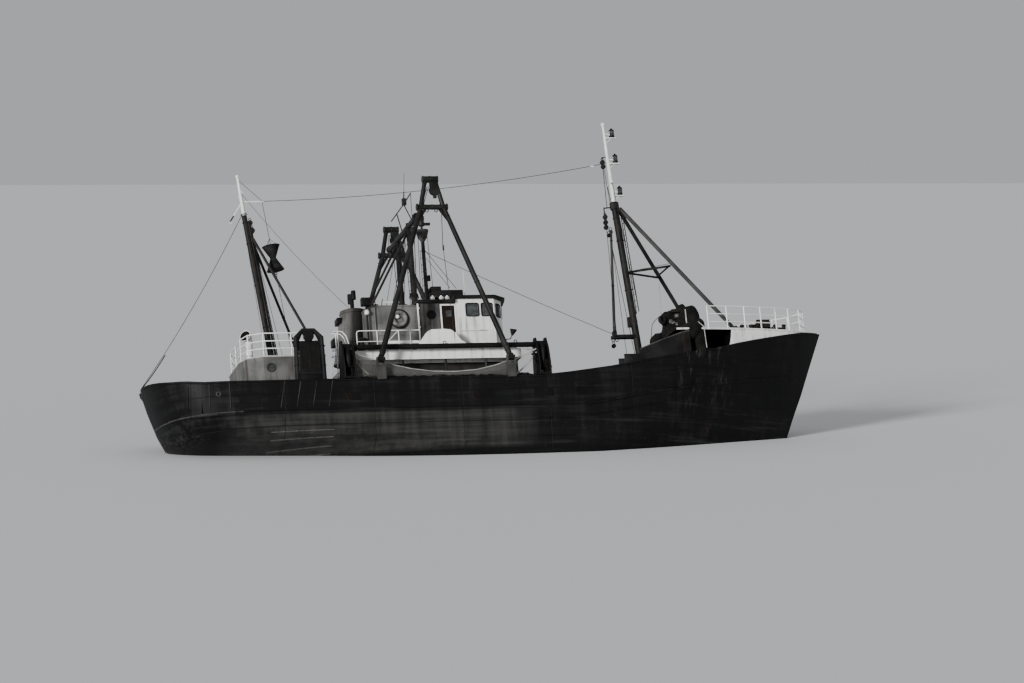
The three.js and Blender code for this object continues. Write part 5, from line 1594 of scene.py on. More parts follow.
def add_casing_details():
    """Two lamps; panels, an iron door and a pipe on the starboard side; and a turned-out top."""
    bm = bmesh.new()
    lathe(bm, [(0, 0), (0.07, 0.0), (0.085, 0.03), (0.07, 0.09), (0, 0.11)],
          (-3.92, -1.74, 4.92), (0, -1, 0), 18)
    lathe(bm, [(0.05, -0.03), (0.09, 0), (0.1, 0.1), (0.06, 0.17), (0, 0.18)],
          (-5.2, -1.85, 5.03), steps=18)
    add_piece("casing_lamps", bm, SPAR_WHITE)
    bm = bmesh.new()
    for z in (4.5, 5.12):
        block(bm, (-3.9, -1.8, z), (-3.8, -1.69, z + 0.04), 0.006)
    block(bm, (-5.13, -1.73, 5.37), (-3.14, 1.73, 5.432), 0.01)
    for x in (-4.75, -4.1):
        for z in (3.5, 4.15):
            block(bm, (x, -1.72, z), (x + 0.5, -1.695, z + 0.5), 0.01)
    iron_door(bm, -3.6, -3.06, -1.69, -1, 3.45, 5.2)
    tube(bm, [(-4.85, -1.76, 3.4), (-4.85, -1.76, 5.35)], 0.025)
    add_piece("casing_details", bm, CASING_GREY)


def add_casing_top():
    """A tank on a pipe at the after corner, vents and boxes on top, and white hand rails."""
    bm = bmesh.new()
    block(bm, (-5.43, -2.03, 5.36), (-5.02, -1.74, 5.7), 0.025)
    tube(bm, [(-5.2, -1.85, 3.3), (-5.2, -1.85, 5.45)], 0.04)
    for y in (-0.9, 0.8, 1.3):
        lathe(bm, [(0, 0), (0.07, 0), (0.07, 0.16), (0.13, 0.2), (0.13, 0.24), (0, 0.28)],
              (-4.6, y, 5.42))
    for x, y in ((-3.5, -1.0), (-3.75, 0.9)):
        block(bm, (x - 0.12, y - 0.2, 5.42), (x + 0.2, y + 0.2, 5.6), 0.02)
    add_piece("casing_boxes", bm, BLACK_PAINT)
    bm = bmesh.new()
    tube(bm, [(x, -1.35, z) for x, z in
              ((-4.35, 5.43), (-4.35, 5.6), (-4.3, 5.65), (-3.95, 5.65))], 0.02)
    for k in range(7):
        z = 3.6 + 0.27 * k
        tube(bm, [(-3.02, -1.3, z), (-3.02, -1.0, z)], 0.012, 6)
    add_piece("casing_rails", bm, RAIL_WHITE)


def add_vents():
    """Two mushroom vents on the boat deck beside the funnel."""
    bm = bmesh.new()
    for y in (-2.1, 2.1):
        lathe(bm, [(0.12, 0), (0.1, 0.02), (0.09, 0.45), (0.12, 0.5), (0.25, 0.52), (0.28, 0.56),
                   (0.2, 0.63), (0, 0.66)], (-5.55, y, BOAT_DECK_Z))
        hoop(bm, (-5.55, y, BOAT_DECK_Z + 0.04), (0, 0, 1), 0.11, 0.015, 20, 6)
    add_piece("boat_deck_vents", bm, BLACK_PAINT)


add_lifebuoy()
add_casing_details()
add_casing_top()
add_vents()


# Aft deckhouse. A low grey house over the crew space with round lights, iron doors, a hatch, a
# cowl vent and white pipe rails round its top.

AFT_HOUSE_Z = 3.25
COWL_PLACE, COWL_TURN = (-10, -0.9, 0), math.radians(50)
# Reach aft, height, lean and radius of the cowl's skin at each of its bends.
COWL_BENDS = (
    (0.0, 3.28, 0, 0.14), (0.0, 3.95, 0, 0.145), (0.0, 4.13, 0.25, 0.155),
    (-0.04, 4.26, 0.75, 0.18), (-0.13, 4.33, 1.15, 0.2), (-0.27, 4.38, 1.25, 0.235))
PALE_GREY = painted_steel("pale_grey_paint", (0.33, 0.33, 0.32), (0.42, 0.42, 0.4), rust=0.5)


def cowl_profile(t):
    """The cowl's reach, height, lean and radius at a share of its length."""
    place = t * (len(COWL_BENDS) - 1)
    k = min(int(place), len(COWL_BENDS) - 2)
    share = place - k
    return [a + (b - a) * share for a, b in zip(COWL_BENDS[k], COWL_BENDS[k + 1])]


def add_cowl():
    """The cowl is built facing aft and then turned to face the quarter. Its inside by the mouth and
    a disc in its throat are black, as painted shade.
    """
    part = bmesh.new()
    shares = [k / 20 for k in range(21)]
    run = [(t, 0.0) for t in shares] + [(t, -0.012) for t in reversed(shares[8:])]
    rows = []
    for t, inset in run:
        x, z, lean, radius = cowl_profile(t)
        radius += inset
        rows.append([(x + radius * math.cos(a) * math.cos(lean), radius * math.sin(a),
                      z + radius * math.cos(a) * math.sin(lean))
                     for a in [math.tau * k / 28 for k in range(29)]])
    loft(part, rows)
    close_up(part)
    x, z, lean, radius = cowl_profile(1.0)
    mouth, facing = Vector((x, 0, z)), (-math.sin(lean), 0, math.cos(lean))
    # Faces inside the mouth take the black, as painted shade.
    for face in part.faces:
        middle = face.calc_center_median()
        inwards = face.normal.dot(middle - Vector((min(middle.x, 0), 0, middle.z))) < 0
        face.material_index = int(middle.z > 4.15 and inwards and (middle - mouth).length < 0.24)
    hoop(part, mouth, facing, radius, 0.014, 28, 6)
    hoop(part, (0, 0, 3.95), (0, 0, 1), 0.147, 0.014, 24, 6)
    lathe(part, [(0.14, 0), (0.2, 0), (0.2, 0.02), (0.14, 0.03)], (0, 0, AFT_HOUSE_Z + 0.002))
    turned = Matrix.Translation(COWL_PLACE) @ Matrix.Rotation(COWL_TURN, 4, "Z")
    bm = bmesh.new()
    put(bm, part, turned)
    add_piece("cowl_shell", bm, [SPAR_WHITE, BLACK_PAINT_AND_SHADE],
              replaces=["cowl_vent"])
    # A black disc across the throat, as painted shade deep in the cowl.
    part, bm = bmesh.new(), bmesh.new()
    disc(part, radius - 0.02, 0, 0.006, mouth, facing)
    put(bm, part, turned)
    add_piece("cowl_throat_shade", bm, BLACK_PAINT_AND_SHADE)


def add_aft_rail():
    quarter = [(-7.4, -2.2), (-8.5, -2.2), (-9.65, -2.2), (-10.22, -1.85), (-10.4, -1.15)]
    path = [*quarter, (-10.4, 0), *((x, -y) for x, y in reversed(quarter))]
    z = AFT_HOUSE_Z
    bm = bmesh.new()
    for x, y in path:
        lathe(bm, [(0, 0.003), (0.055, 0.003), (0.055, 0.014), (0.026, 0.014)], (x, y, z),
              steps=14)
        tube(bm, [(x, y, z + 0.005), (x, y, z + 0.96)], 0.025)
    for rise in (0.32, 0.63, 0.95):
        tube(bm, [(x, y, z + rise) for x, y in path], 0.022)
    add_piece("aft_rail_pipes", bm, RAIL_WHITE, replaces=["aft_rail"])


def add_aft_house_details():
    """Round lights, a half-round bar under the roof edge, two iron doors, a hatch and a vent."""
    frames, panes, doors = bmesh.new(), bmesh.new(), bmesh.new()
    for side in (-1, 1):
        for x in (-9.4, -8.0):
            round_light(frames, panes, (x, side * 2.3, 2.75), (0, side, 0))
    half = [(-7.15, -2.3), (-9.7, -2.3), (-10.3, -1.9), (-10.5, -1.2)]
    edge = [*half, *((x, -y) for x, y in reversed(half)), half[0]]
    tube(doors, [(x, y, 3.22) for x, y in edge], 0.03, 8)
    block(doors, (-10.52, -0.34, 1.01), (-10.485, 0.34, 2.69), 0.012)
    block(doors, (-10.54, -0.25, 1.15), (-10.51, 0.25, 2.55), 0.01)
    for z in (1.25, 2.45):
        tube(doors, [(-10.52, 0.3, z), (-10.56, 0.42, z)], 0.02)
    block(doors, (-7.17, -0.6, 1.0), (-7.14, 0.1, 2.7), 0.012)
    add_piece("aft_house_frames", frames, GLASS_FRAMES)
    add_piece("aft_house_glass", panes, GLASS)
    add_piece("aft_house_doors", doors, PALE_GREY)
    bm = bmesh.new()
    block(bm, (-8.35, -0.55, AFT_HOUSE_Z), (-7.55, 0.55, 3.55), 0.02)
    block(bm, (-8.39, -0.59, 3.54), (-7.51, 0.59, 3.6), 0.015)
    lathe(bm, [(0.1, 0), (0.09, 0.35), (0.17, 0.38), (0.18, 0.44), (0, 0.5)],
          (-9.6, 1.2, AFT_HOUSE_Z))
    add_piece("aft_house_hatch", bm, PALE_GREY)


add_cowl()
add_aft_rail()
add_aft_house_details()
dress(painted_steel("aft_house_grey", (0.06, 0.06, 0.058), (0.125, 0.123, 0.118), rust=0.8,
                    dirt=0.8), "aft_house")


# Foremast. A black steel tube with a white pole above the collar, lamps on forward brackets, a
# ladder, blocks and runners, and two raking struts down to the whaleback.

def wire_rope():
    """Greased black wire with the lay of its strands."""
    material, at = new_material("wire_rope")
    x, y, z = at.axes()
    lay = ((x + y * 0.7 + z) % 0.03).near(0.015, 0.012)
    fade = at.noise(3, detail=4)
    lay_on(at, fade.ramp(0.4, 0.62).blend((0.006, 0.006, 0.006), (0.025, 0.024, 0.022)), 0.6,
           lay, 0.5, 0.004)
    return material


WIRE_ROPE = wire_rope()


def pulley(bm, x, y, z, size=0.14, axis=(0, 1, 0)):
    """A wire block: two oval cheeks, a sheave between them, a pin and a shackle above."""
    axis = Vector(axis).normalized()
    centre = Vector((x, y, z))
    for way in (-1, 1):
        lathe(bm, [(0, -0.012), (size, -0.012), (size * 1.05, 0), (size, 0.012), (0, 0.012)],
              centre + axis * (0.05 * way), axis, 18)
    lathe(bm, [(0, -0.035), (size * 0.86, -0.035), (size * 0.7, 0), (size * 0.86, 0.035),
               (0, 0.035)], centre, axis, 18)
    disc(bm, 0.03, -0.08, 0.08, centre, axis, 10)
    hoop(bm, centre + Vector((0, 0, size + 0.05)), axis, 0.05, 0.014, 14, 6)


def ladder(bm, low, high, spread, rungs, rail):
    """A ladder between two points that narrows upwards, its sides spread in Y."""
    low, high = Vector(low), Vector(high)
    for way in (-1, 1):
        tube(bm, [low + Vector((0, spread * way, 0)), high + Vector((0, spread * 0.6 * way, 0))],
             rail, 6)
    for k in range(1, rungs):
        middle = low.lerp(high, k / rungs)
        half = Vector((0, spread * (1 - 0.4 * k / rungs), 0))
        tube(bm, [middle - half, middle + half], 0.013, 6)


def mast_x(line, z):
    """X of a raked mast at a height, from its straight runs."""
    return straight([(height, x) for x, height in line], z)


def mast_bands(bm, line, heights, rake, radius, thickness, steps):
    """Bands round a raked mast."""
    for z in heights:
        hoop(bm, (mast_x(line, z), 0, z), (rake, 0, 1), radius, thickness, steps, 6)


FOREMAST_LINE = ((7.11, 1.6), (6.45, 10.21), (6.27, 13.8))
AFT_MAST_LINE = ((-8.86, AFT_HOUSE_Z), (-9.7, 9.8), (-9.89, 11.5))


def mast_paint(name, change_z):
    """Black tube below, white pole above a height, both chafed and salt-stained."""
    material, at = new_material(name)
    z = at.axes()[2]
    patch = at.noise(2.2, detail=5)
    runs = at.noise(7, stretch=(1, 1, 0.15), detail=6, rough=0.6)
    grit = at.noise(30, detail=5, rough=0.7)
    black = patch.ramp(0.38, 0.64).blend((0.005, 0.005, 0.005), (0.02, 0.0195, 0.018))
    white = patch.ramp(0.38, 0.64).blend((0.68, 0.68, 0.66), (0.78, 0.78, 0.76))
    white = (runs.ramp(0.5, 0.7) * 0.5).blend(white, (0.25, 0.235, 0.21))
    pits = (grit * 0.5 + runs * 0.5).ramp(0.55, 0.63)
    tone = (z > change_z).blend(black, white)
    tone = (pits * 0.6).blend(tone, (0.085, 0.045, 0.028))
    lay_on(at, tone, patch.ramp(0.3, 0.7, 0.4, 0.7), patch * 0.4 + pits * -0.4, 0.5, 0.01)
    return material


def add_foremast_lamps():
    cases, lenses, brackets = bmesh.new(), bmesh.new(), bmesh.new()
    for z in (13.4, 12.25, 10.8):
        x = mast_x(FOREMAST_LINE, z) + 0.34
        lantern(cases, lenses, x, 0, z + 0.03, 1.35)
        tube(brackets, [(x - 0.32, 0, z - 0.45), (x - 0.05, 0, z - 0.2)], 0.018)
        block(brackets, (x - 0.32, -0.08, z - 0.21), (x + 0.16, 0.08, z - 0.17), 0.006)
    add_piece("foremast_lamp_cases", cases, BLACK_PAINT)
    add_piece("foremast_lamp_lenses", lenses, GLASS)
    add_piece("foremast_lamp_brackets", brackets, SPAR_WHITE)


def add_foremast_fittings():
    """Bands, ladder and blocks; the boom's fork; and a reel between cheeks at the mast's foot."""
    bm = bmesh.new()
    mast_bands(bm, FOREMAST_LINE, (3.2, 5.0, 6.4, 8.6, 9.6, 10.0, 10.3), -0.07, 0.155, 0.02, 24)
    ladder(bm, (7.07, 0, 5.4), (6.74, 0, 9.9), 0.17, 17, 0.02)
    tube(bm, [(6.98, -0.05, 4.6), (6.6, -0.05, 9.9)], 0.022)
    for x, z in ((6.1, 12.12), (6.12, 11.93), (6.0, 9.66), (6.0, 9.42), (6.0, 9.2)):
        pulley(bm, x, 0, z, 0.1)
    pulley(bm, 5.86, 0, 3.95, 0.09)
    tube(bm, [(6.34, 0, 12.36), (6.1, 0, 12.34), (6.1, 0, 12.26)], 0.02)
    tube(bm, [(6.47, 0, 10.1), (5.98, 0, 10.06), (5.98, 0, 9.8)], 0.03)
    block(bm, (5.94, -0.035, 9.12), (6.06, 0.035, 9.8), 0.015)
    block(bm, (6.56, -0.06, 4.75), (6.72, 0.06, 5.2), 0.015)
    for x in (5.86, 6.02):
        hoop(bm, (x, 0, 4.2), (0, 1, 0), 0.06, 0.018, 14, 6)
    lathe(bm, [(0.0, -0.36), (0.3, -0.36), (0.3, -0.32), (0.18, -0.3), (0.18, 0.3), (0.3, 0.32),
               (0.3, 0.36), (0, 0.36)], (6.5, 0, 3.2), (0, 1, 0), 24)
    for y0, y1 in ((-0.14, -0.11), (0.11, 0.14)):
        block(bm, (5.8, y0, 4.26), (6.95, y1, 4.42), 0.01)
    for y0, y1 in ((-0.45, -0.37), (0.37, 0.45)):
        block(bm, (6.15, y0, 2.75), (6.9, y1, 3.5), 0.02)
    add_piece("foremast_fittings", bm, MAST_BLACK)


def add_foremast_wires():
    bm = bmesh.new()
    hang_all(bm, ((6.02, 0, 9.15), (6.17, 0, 9.02), 0.014),
             ((6.0, -0.05, 9.1), (5.99, -0.13, 4.6), 0.012),
             ((6.12, 0, 8.9), (6.72, -0.25, 3.2), 0.013),
             ((6.2, 0.1, 9.1), (6.5, 0.25, 3.3), 0.011),
             ((6.1, 0, 11.85), (6.12, 0, 10.1), 0.016),
             ((6.16, 0.05, 11.85), (6.3, 0.05, 10.2), 0.012),
             ((6.35, -0.34, 11.1), (7.06, -0.22, 5.4), 0.014),
             ((6.35, 0.34, 11.1), (7.06, 0.22, 5.4), 0.014),
             ((6.66, -0.1, 7.17), (8.36, -0.94, 7.3), 0.01))
    add_piece("foremast_wires", bm, WIRE_ROPE, crease=60)


add_foremast_lamps()
add_foremast_fittings()
add_foremast_wires()
dress(mast_paint("foremast_paint", 10.3), "foremast")
# The starboard strut gets this lighter grey as painted light, while the port strut is black; the
# landing boom takes the same grey.
dress(painted_steel("strut_painted_light_and_boom_grey", (0.02, 0.02, 0.02), (0.05, 0.049, 0.047), rust=0.4,
                    dirt=0.4), "foremast_strut_starboard", "landing_boom")
dress(MAST_BLACK, "foremast_strut_port")


def add_strut_feet():
    """A bolted pad plate with a socket under each strut."""
    bm = bmesh.new()
    x, z = 10.68, whaleback_z(10.7)
    for y in (-2.01, 2.01):
        lathe(bm, [(0, 0.0), (0.2, 0.0), (0.2, 0.03), (0.12, 0.05), (0.1, 0.16), (0, 0.16)],
              (x, y, z - 0.005), (-0.35, 0, 1), 20)
        for a in [k * math.tau / 6 for k in range(6)]:
            lathe(bm, [(0, 0), (0.022, 0), (0.022, 0.03), (0, 0.035)],
                  (x + 0.16 * math.cos(a), y + 0.16 * math.sin(a), z + 0.025), steps=8)
    add_piece("strut_feet", bm, MAST_BLACK)


add_strut_feet()


# Landing boom. A light steel derrick hinged in a fork on the mast, with three bands, and an eye
# and a block at its head.

BOOM_HEEL_X, BOOM_HEEL_Z, BOOM_RAKE = 5.945, 4.57, 0.058


def add_boom_gear():
    bm = bmesh.new()
    for z in (4.75, 6.6, 8.6):
        x = BOOM_HEEL_X + (z - BOOM_HEEL_Z) * BOOM_RAKE
        hoop(bm, (x, 0, z), (BOOM_RAKE, 0, 1), 0.068, 0.014, 20, 6)
    hoop(bm, (6.2, 0, 9.13), (0, 1, 0), 0.06, 0.016, 16, 6)
    pulley(bm, 6.09, 0.0, 8.84, 0.08)
    add_piece("boom_fittings", bm, MAST_BLACK, "boom")


add_boom_gear()


# Aft mast. Black tube and white pole on the aft house, with a cross arm, a gaff, a ladder, two
# struts, and a double-cone day signal on its line.

def add_aft_mast_fittings():
    """Bands, foot collar, ladder, pipe and blocks, and the struts' foot plates."""
    bm = bmesh.new()
    mast_bands(bm, AFT_MAST_LINE, (3.5, 5.0, 6.8, 8.6, 9.5, 9.85), -0.12, 0.13, 0.016, 22)
    lathe(bm, [(0.12, 0), (0.24, 0), (0.24, 0.03), (0.15, 0.05), (0.12, 0.14)],
          (-8.86, 0, AFT_HOUSE_Z))
    ladder(bm, (-8.62, 0, 3.3), (-9.46, 0, 9.4), 0.12, 20, 0.022)
    tube(bm, [(-8.72, -0.1, 3.3), (-9.55, -0.08, 9.5)], 0.03)
    pulley(bm, -9.42, 0, 9.15, 0.13)
    pulley(bm, -9.46, 0.06, 9.5, 0.11)
    for y in (-1.6, 1.6):
        lathe(bm, [(0, 0), (0.14, 0), (0.14, 0.025), (0.08, 0.04), (0.07, 0.12), (0, 0.12)],
              (-7.15, y, AFT_HOUSE_Z + 0.002), steps=18)
    add_piece("aft_mast_fittings", bm, MAST_BLACK)
    bm = bmesh.new()
    lathe(bm, [(0, -0.07), (0.06, -0.05), (0.08, 0), (0.06, 0.05), (0, 0.07)],
          (-9.89, 0, 11.5), steps=16)
    for place in ((-10.28, 0, 9.5), (-9.8, -0.29, 10.69), (-9.8, 0.29, 10.69)):
        hoop(bm, place, (0, 1, 0), 0.035, 0.01, 12, 6)
    add_piece("aft_mast_head", bm, SPAR_WHITE)


def add_aft_mast_wires():
    bm = bmesh.new()
    hang_all(bm, ((-9.8, -0.29, 10.68), (-9.0, -0.5, 3.3), 0.009),
             ((-9.8, 0.29, 10.68), (-9.0, 0.5, 3.3), 0.009),
             ((-9.42, 0, 9.05), (-8.3, 0.3, 3.3), 0.011),
             ((-8.87, 0, 10.4), (-9.86, 0, 11.35), 0.01),
             ((-9.75, 0, 9.9), (-14.36, 0, 2.5), 0.012, 0.3),
             ((-13.3, 0, 3.9), (-14.36, 0, 2.47), 0.022, 0.05))
    add_piece("aft_mast_wires", bm, WIRE_ROPE, crease=60)


add_aft_mast_fittings()
add_aft_mast_wires()
dress(mast_paint("aft_mast_paint", 9.8), "aft_mast")
dress(MAST_BLACK, "aft_mast_strut_starboard", "aft_mast_strut_port")


def canvas_black():
    """Tarred canvas over hoops."""
    material, at = new_material("tarred_canvas")
    weave, fade = at.noise(70, detail=2), at.noise(3, detail=5)
    lay_on(at, fade.ramp(0.4, 0.65).blend((0.008, 0.008, 0.008), (0.022, 0.021, 0.02)), 0.85,
           weave * 0.4 + fade * 0.6, 0.4, 0.008)
    return material


def dayshape_axis(z):
    """X of the signal's leaning axis at a height."""
    return -8.9 + (10.37 - z) * 0.13


def add_dayshape_details():
    """Hoops at the rims and the waist, an eye below, and a bridle from the upper rim."""
    bm = bmesh.new()
    for z, radius in ((8.47, 0.365), (7.44, 0.365), (7.955, 0.115)):
        hoop(bm, (dayshape_axis(z), 0, z), (-0.13, 0, 1), radius, 0.016, 28, 6)
    hoop(bm, (dayshape_axis(7.3), 0, 7.3), (0, 1, 0), 0.05, 0.012, 14, 6)
    for a in [turn * math.tau / 3 for turn in range(3)]:
        end = (dayshape_axis(8.47) + 0.33 * math.cos(a), 0.33 * math.sin(a), 8.48)
        tube(bm, [end, (dayshape_axis(8.8), 0, 8.8)], 0.008, 6)
    add_piece("dayshape_hoops", bm, BLACK_PAINT)


add_dayshape_details()
dress(canvas_black(), "dayshape")


# Gantry and radar mast. Two black steel posts with a cross bar stand on the after part of the
# wheelhouse roof. The scanner turns before them on a stayed tube, above a grey drum.

GANTRY_X, GANTRY_Y, GANTRY_BAR_Z = -2.98, 1.1, 8.98
RADAR_X = -2.15
ROOF_FOOT_Z = 5.553


def add_gantry_fittings():
    """Post feet and bands, bar flanges, knees, falls blocks, the upper cross pole and a ladder."""
    bm = bmesh.new()
    x = GANTRY_X
    for side in (-1, 1):
        y = side * GANTRY_Y
        lathe(bm, [(0.12, 0), (0.2, 0), (0.2, 0.025), (0.13, 0.05), (0.12, 0.2)],
              (x, y, ROOF_FOOT_Z), steps=20)
        for z in (6.2, 7.4, 8.4):
            hoop(bm, (x, y, z), (0, 0, 1), 0.12, 0.016, 22, 6)
        lathe(bm, [(0.12, -0.03), (0.17, -0.03), (0.17, 0.06), (0.12, 0.06)],
              (x, side * 2.47, GANTRY_BAR_Z), (0, side, 0), 22)
        plate(bm, [(x, y + side * 0.1, 8.86), (x, y + side * 0.55, 8.88),
                   (x, y + side * 0.1, 8.4)], (0.02, 0, 0))
        pulley(bm, x, side * 2.35, 8.7, 0.13, (1, 0, 0))
        pulley(bm, x, side * 1.75, 8.68, 0.12, (1, 0, 0))
    for y in (-0.6, 0.0, 0.6):
        hoop(bm, (x, y, 8.84), (1, 0, 0), 0.05, 0.014, 14, 6)
    tube(bm, [(x, -1.85, 10.2), (x, -0.62, 10.12), (x, 1.9, 10.08)], 0.026)
    tube(bm, [(x, -1.82, 10.2), (x, -1.8, 9.08)], 0.014)
    for y0, y1 in ((-0.5, -1.7), (0.84, 0.1)):
        tube(bm, [(x, y0, 10.11), (x, y1, 9.08)], 0.025)
    block(bm, (x - 0.09, -0.68, 10.05), (x + 0.09, -0.5, 10.34), 0.015)
    for k in range(6):
        y, z = 0.02 * k, 6.35 + 0.4 * k
        tube(bm, [(x, y - 0.75, z), (x, y - 0.4, z)], 0.012, 6)
    for y in (-0.75, -0.4):
        tube(bm, [(x, y, AFT_ROOF_Z), (x, y + 0.13, 8.88)], 0.013, 6)
    add_piece("gantry_fittings", bm, MAST_BLACK)


def add_gantry_falls():
    """Coils on the posts, the falls down to them, and slack lines to the casing."""
    bm = bmesh.new()
    x = GANTRY_X
    for side in (-1, 1):
        y = side * GANTRY_Y
        for k in range(4):
            hoop(bm, (x, y, 6.05 - 0.05 * k), (0.1, 0.05 * k, 1), 0.16 + 0.01 * k, 0.02, 20, 6)
        for dx, dy in ((0.05, 0.0), (-0.05, 0.03)):
            hang(bm, (x + dx, side * 1.75 + dy, 8.6), (x + dx * 0.4, side * 1.5 + dy, 5.75),
                 0.016)
        hang_all(bm, ((-4.7, y, 5.95), (-4.25, y * 0.7, 5.95), 0.018, 0.55),
                 ((x - 0.1, y * 0.9, 8.8), (-3.9, y * 0.6, 5.45), 0.012, 0.05),
                 ((x - 0.1, y * 0.6, 8.8), (-3.3, y * 0.5, 5.45), 0.012, 0.03))
    add_piece("gantry_falls", bm, DARK_ROPE, crease=60)


def add_radar_mast():
    """Foot, bands, guy rods, ladder, box and cables of the tube, and the drum at its head."""
    bm = bmesh.new()
    x = RADAR_X
    lathe(bm, [(0.08, 0), (0.16, 0), (0.16, 0.02), (0.1, 0.04), (0.08, 0.14)],
          (x, 0, ROOF_FOOT_Z), steps=20)
    for z in (6.5, 7.4, 8.2):
        hoop(bm, (x, 0, z), (0, 0, 1), 0.08, 0.014, 20, 6)
    for side in (-1, 1):
        tube(bm, [(x, side * 0.2, 8.8), (x, side * 0.34, 5.56)], 0.013)
        tube(bm, [(x + side * 0.2, -0.05, 8.8), (x + side * 0.3, -0.1, 5.56)], 0.012)
    for k in range(8):
        z = 6.1 + 0.3 * k
        tube(bm, [(x - 0.11, 0.14, z), (x - 0.11, -0.14, z)], 0.01, 6)
    for y in (-0.14, 0.14):
        tube(bm, [(x - 0.11, y, 5.6), (x - 0.11, y, 8.3)], 0.012, 6)
    block(bm, (-2.06, -0.05, 6.9), (-1.94, 0.05, 7.15), 0.01)
    hang_all(bm, ((-2.05, 0, 8.2), (-0.9, -0.2, 6.5), 0.012),
             ((-2.05, 0, 7.9), (-1.2, -0.3, 6.5), 0.01))
    add_piece("radar_mast_fittings", bm, MAST_BLACK)
    bm = bmesh.new()
    lathe(bm, [(0.06, 8.6), (0.08, 8.62), (0.19, 8.78), (0.205, 8.8), (0.275, 9.08),
               (0.285, 9.1), (0.27, 9.12), (0.06, 9.12)], (x, 0, 0), steps=30)
    add_piece("radar_drum", bm, HEEL_GREY)


def add_scanner():
    """The scanner's bar with its end caps, on a turning housing, and a whip aerial."""
    bm = bmesh.new()
    outline = [(-0.08, 9.38), (-0.07, 9.345), (0.06, 9.34), (0.085, 9.37), (0.085, 9.42),
               (0.06, 9.445), (-0.05, 9.445), (-0.08, 9.43)]
    plate(bm, [(-2.505, y, z) for y, z in outline], (0.71, 0, 0))
    for x in (-2.51, -1.81):
        block(bm, (x, -0.09, 9.335), (x + 0.02, 0.09, 9.45), 0.006)
    lathe(bm, [(0.06, 9.302), (0.12, 9.31), (0.13, 9.33), (0.13, 9.47), (0.1, 9.5), (0.1, 9.53),
               (0.13, 9.55), (0.135, 9.72), (0.1, 9.78), (0, 9.79)], (RADAR_X, 0, 0), steps=24)
    add_piece("radar_scanner_shell", bm, MAST_BLACK, "scanner",
              replaces=["radar_scanner"])
    bm = bmesh.new()
    lathe(bm, [(0, 0), (0.03, 0), (0.02, 0.3), (0.011, 0.32), (0.008, 1.15), (0, 1.15)],
          (GANTRY_X, -0.6, 10.33), (0.083, 0, 1), 8)
    add_piece("whip_aerial", bm, BLACK_PAINT)


add_gantry_fittings()
add_gantry_falls()
add_radar_mast()
add_scanner()
dress(MAST_BLACK, "gantry_post_starboard", "gantry_post_port", "gantry_bar", "radar_mast")


# Derricks. Each is an A of two black tubes hinged on the rail, saddled under a cross beam, with
# two arms above that meet in a cap, and a sheave there for the towing warp.

DERRICK_TOPS = (-3.05, -2.1)
HEAD_Y, HEAD_Z = 3.66, 9.05
CAP_Y, CAP_Z = 3.7, 10.22


def along_leg(end, side, share):
    """A point on a derrick leg and the leg's direction."""
    foot = Vector((DERRICK_FEET[end], side * PIN_Y, PIN_Z))
    top = Vector((DERRICK_TOPS[end], side * HEAD_Y, HEAD_Z))
    return foot.lerp(top, share), (top - foot).normalized()


def derrick_leg(bm, end, side):
    """Bands, the eye's two collars at the heel pin, and the knee under the head."""
    for share, radius in ((0.045, 0.12), (0.075, 0.119), (0.5, 0.111), (0.94, 0.102)):
        place, way = along_leg(end, side, share)
        hoop(bm, place, way, radius, 0.018, 22, 6)
    foot, way = along_leg(end, side, 0)
    for x in (-0.087, 0.067):
        lathe(bm, [(0.1, 0), (0.155, 0), (0.165, 0.01), (0.155, 0.02), (0.1, 0.02)],
              foot + Vector((x, 0, 0)), (1, 0, 0), 24)
    top, way = along_leg(end, side, 0.975)
    toward = Vector((1 if end == 0 else -1, 0, 0))
    inset = Vector((0, 0.01, 0))
    plate(bm, [top + toward * 0.06 - inset, top + toward * 0.34 + Vector((0, -0.01, 0.13)),
               top - way * 0.5 + toward * 0.1 - inset], inset * 2)


def derrick_head(bm, side):
    """Beam ends and bands below; the cap's flanges, knees and warp sheave above; two eyes."""
    y = side * HEAD_Y
    for x in (-3.21, -1.96):
        lathe(bm, [(0, -0.03), (0.14, -0.03), (0.15, -0.01), (0.15, 0.02), (0.13, 0.04),
                   (0, 0.04)], (x, y, HEAD_Z), (1, 0, 0), 22)
    for x in (-2.9, -2.575, -2.25):
        hoop(bm, (x, y, HEAD_Z), (1, 0, 0), 0.112, 0.016, 22, 6)
    for x in (-2.42, -2.8):
        hoop(bm, (x, y, 8.9), (0, 1, 0), 0.06, 0.018, 14, 6)
    y = side * CAP_Y
    for x in (-2.9, -2.59, -2.28):
        lathe(bm, [(0, -0.02), (0.15, -0.02), (0.16, 0), (0.15, 0.02), (0, 0.02)],
              (x, y, CAP_Z), (1, 0, 0), 22)
    for x0, x1 in ((-2.86, -2.7), (-2.3, -2.4)):
        plate(bm, [(x0, y - 0.012, 10.12), (x1, y - 0.012, 10.12), (x0, y - 0.012, 9.72)],
              (0, 0.024, 0))
    for way in (-0.085, 0.085):
        disc(bm, 0.215, -0.01, 0.01, (-2.44, y + way, 9.76), (0, 1, 0))
    block(bm, (-2.62, y - 0.1, 9.9), (-2.28, y + 0.1, 10.12), 0.015)
    block(bm, (-2.5, y - 0.07, 9.42), (-2.36, y + 0.07, 9.56), 0.02)


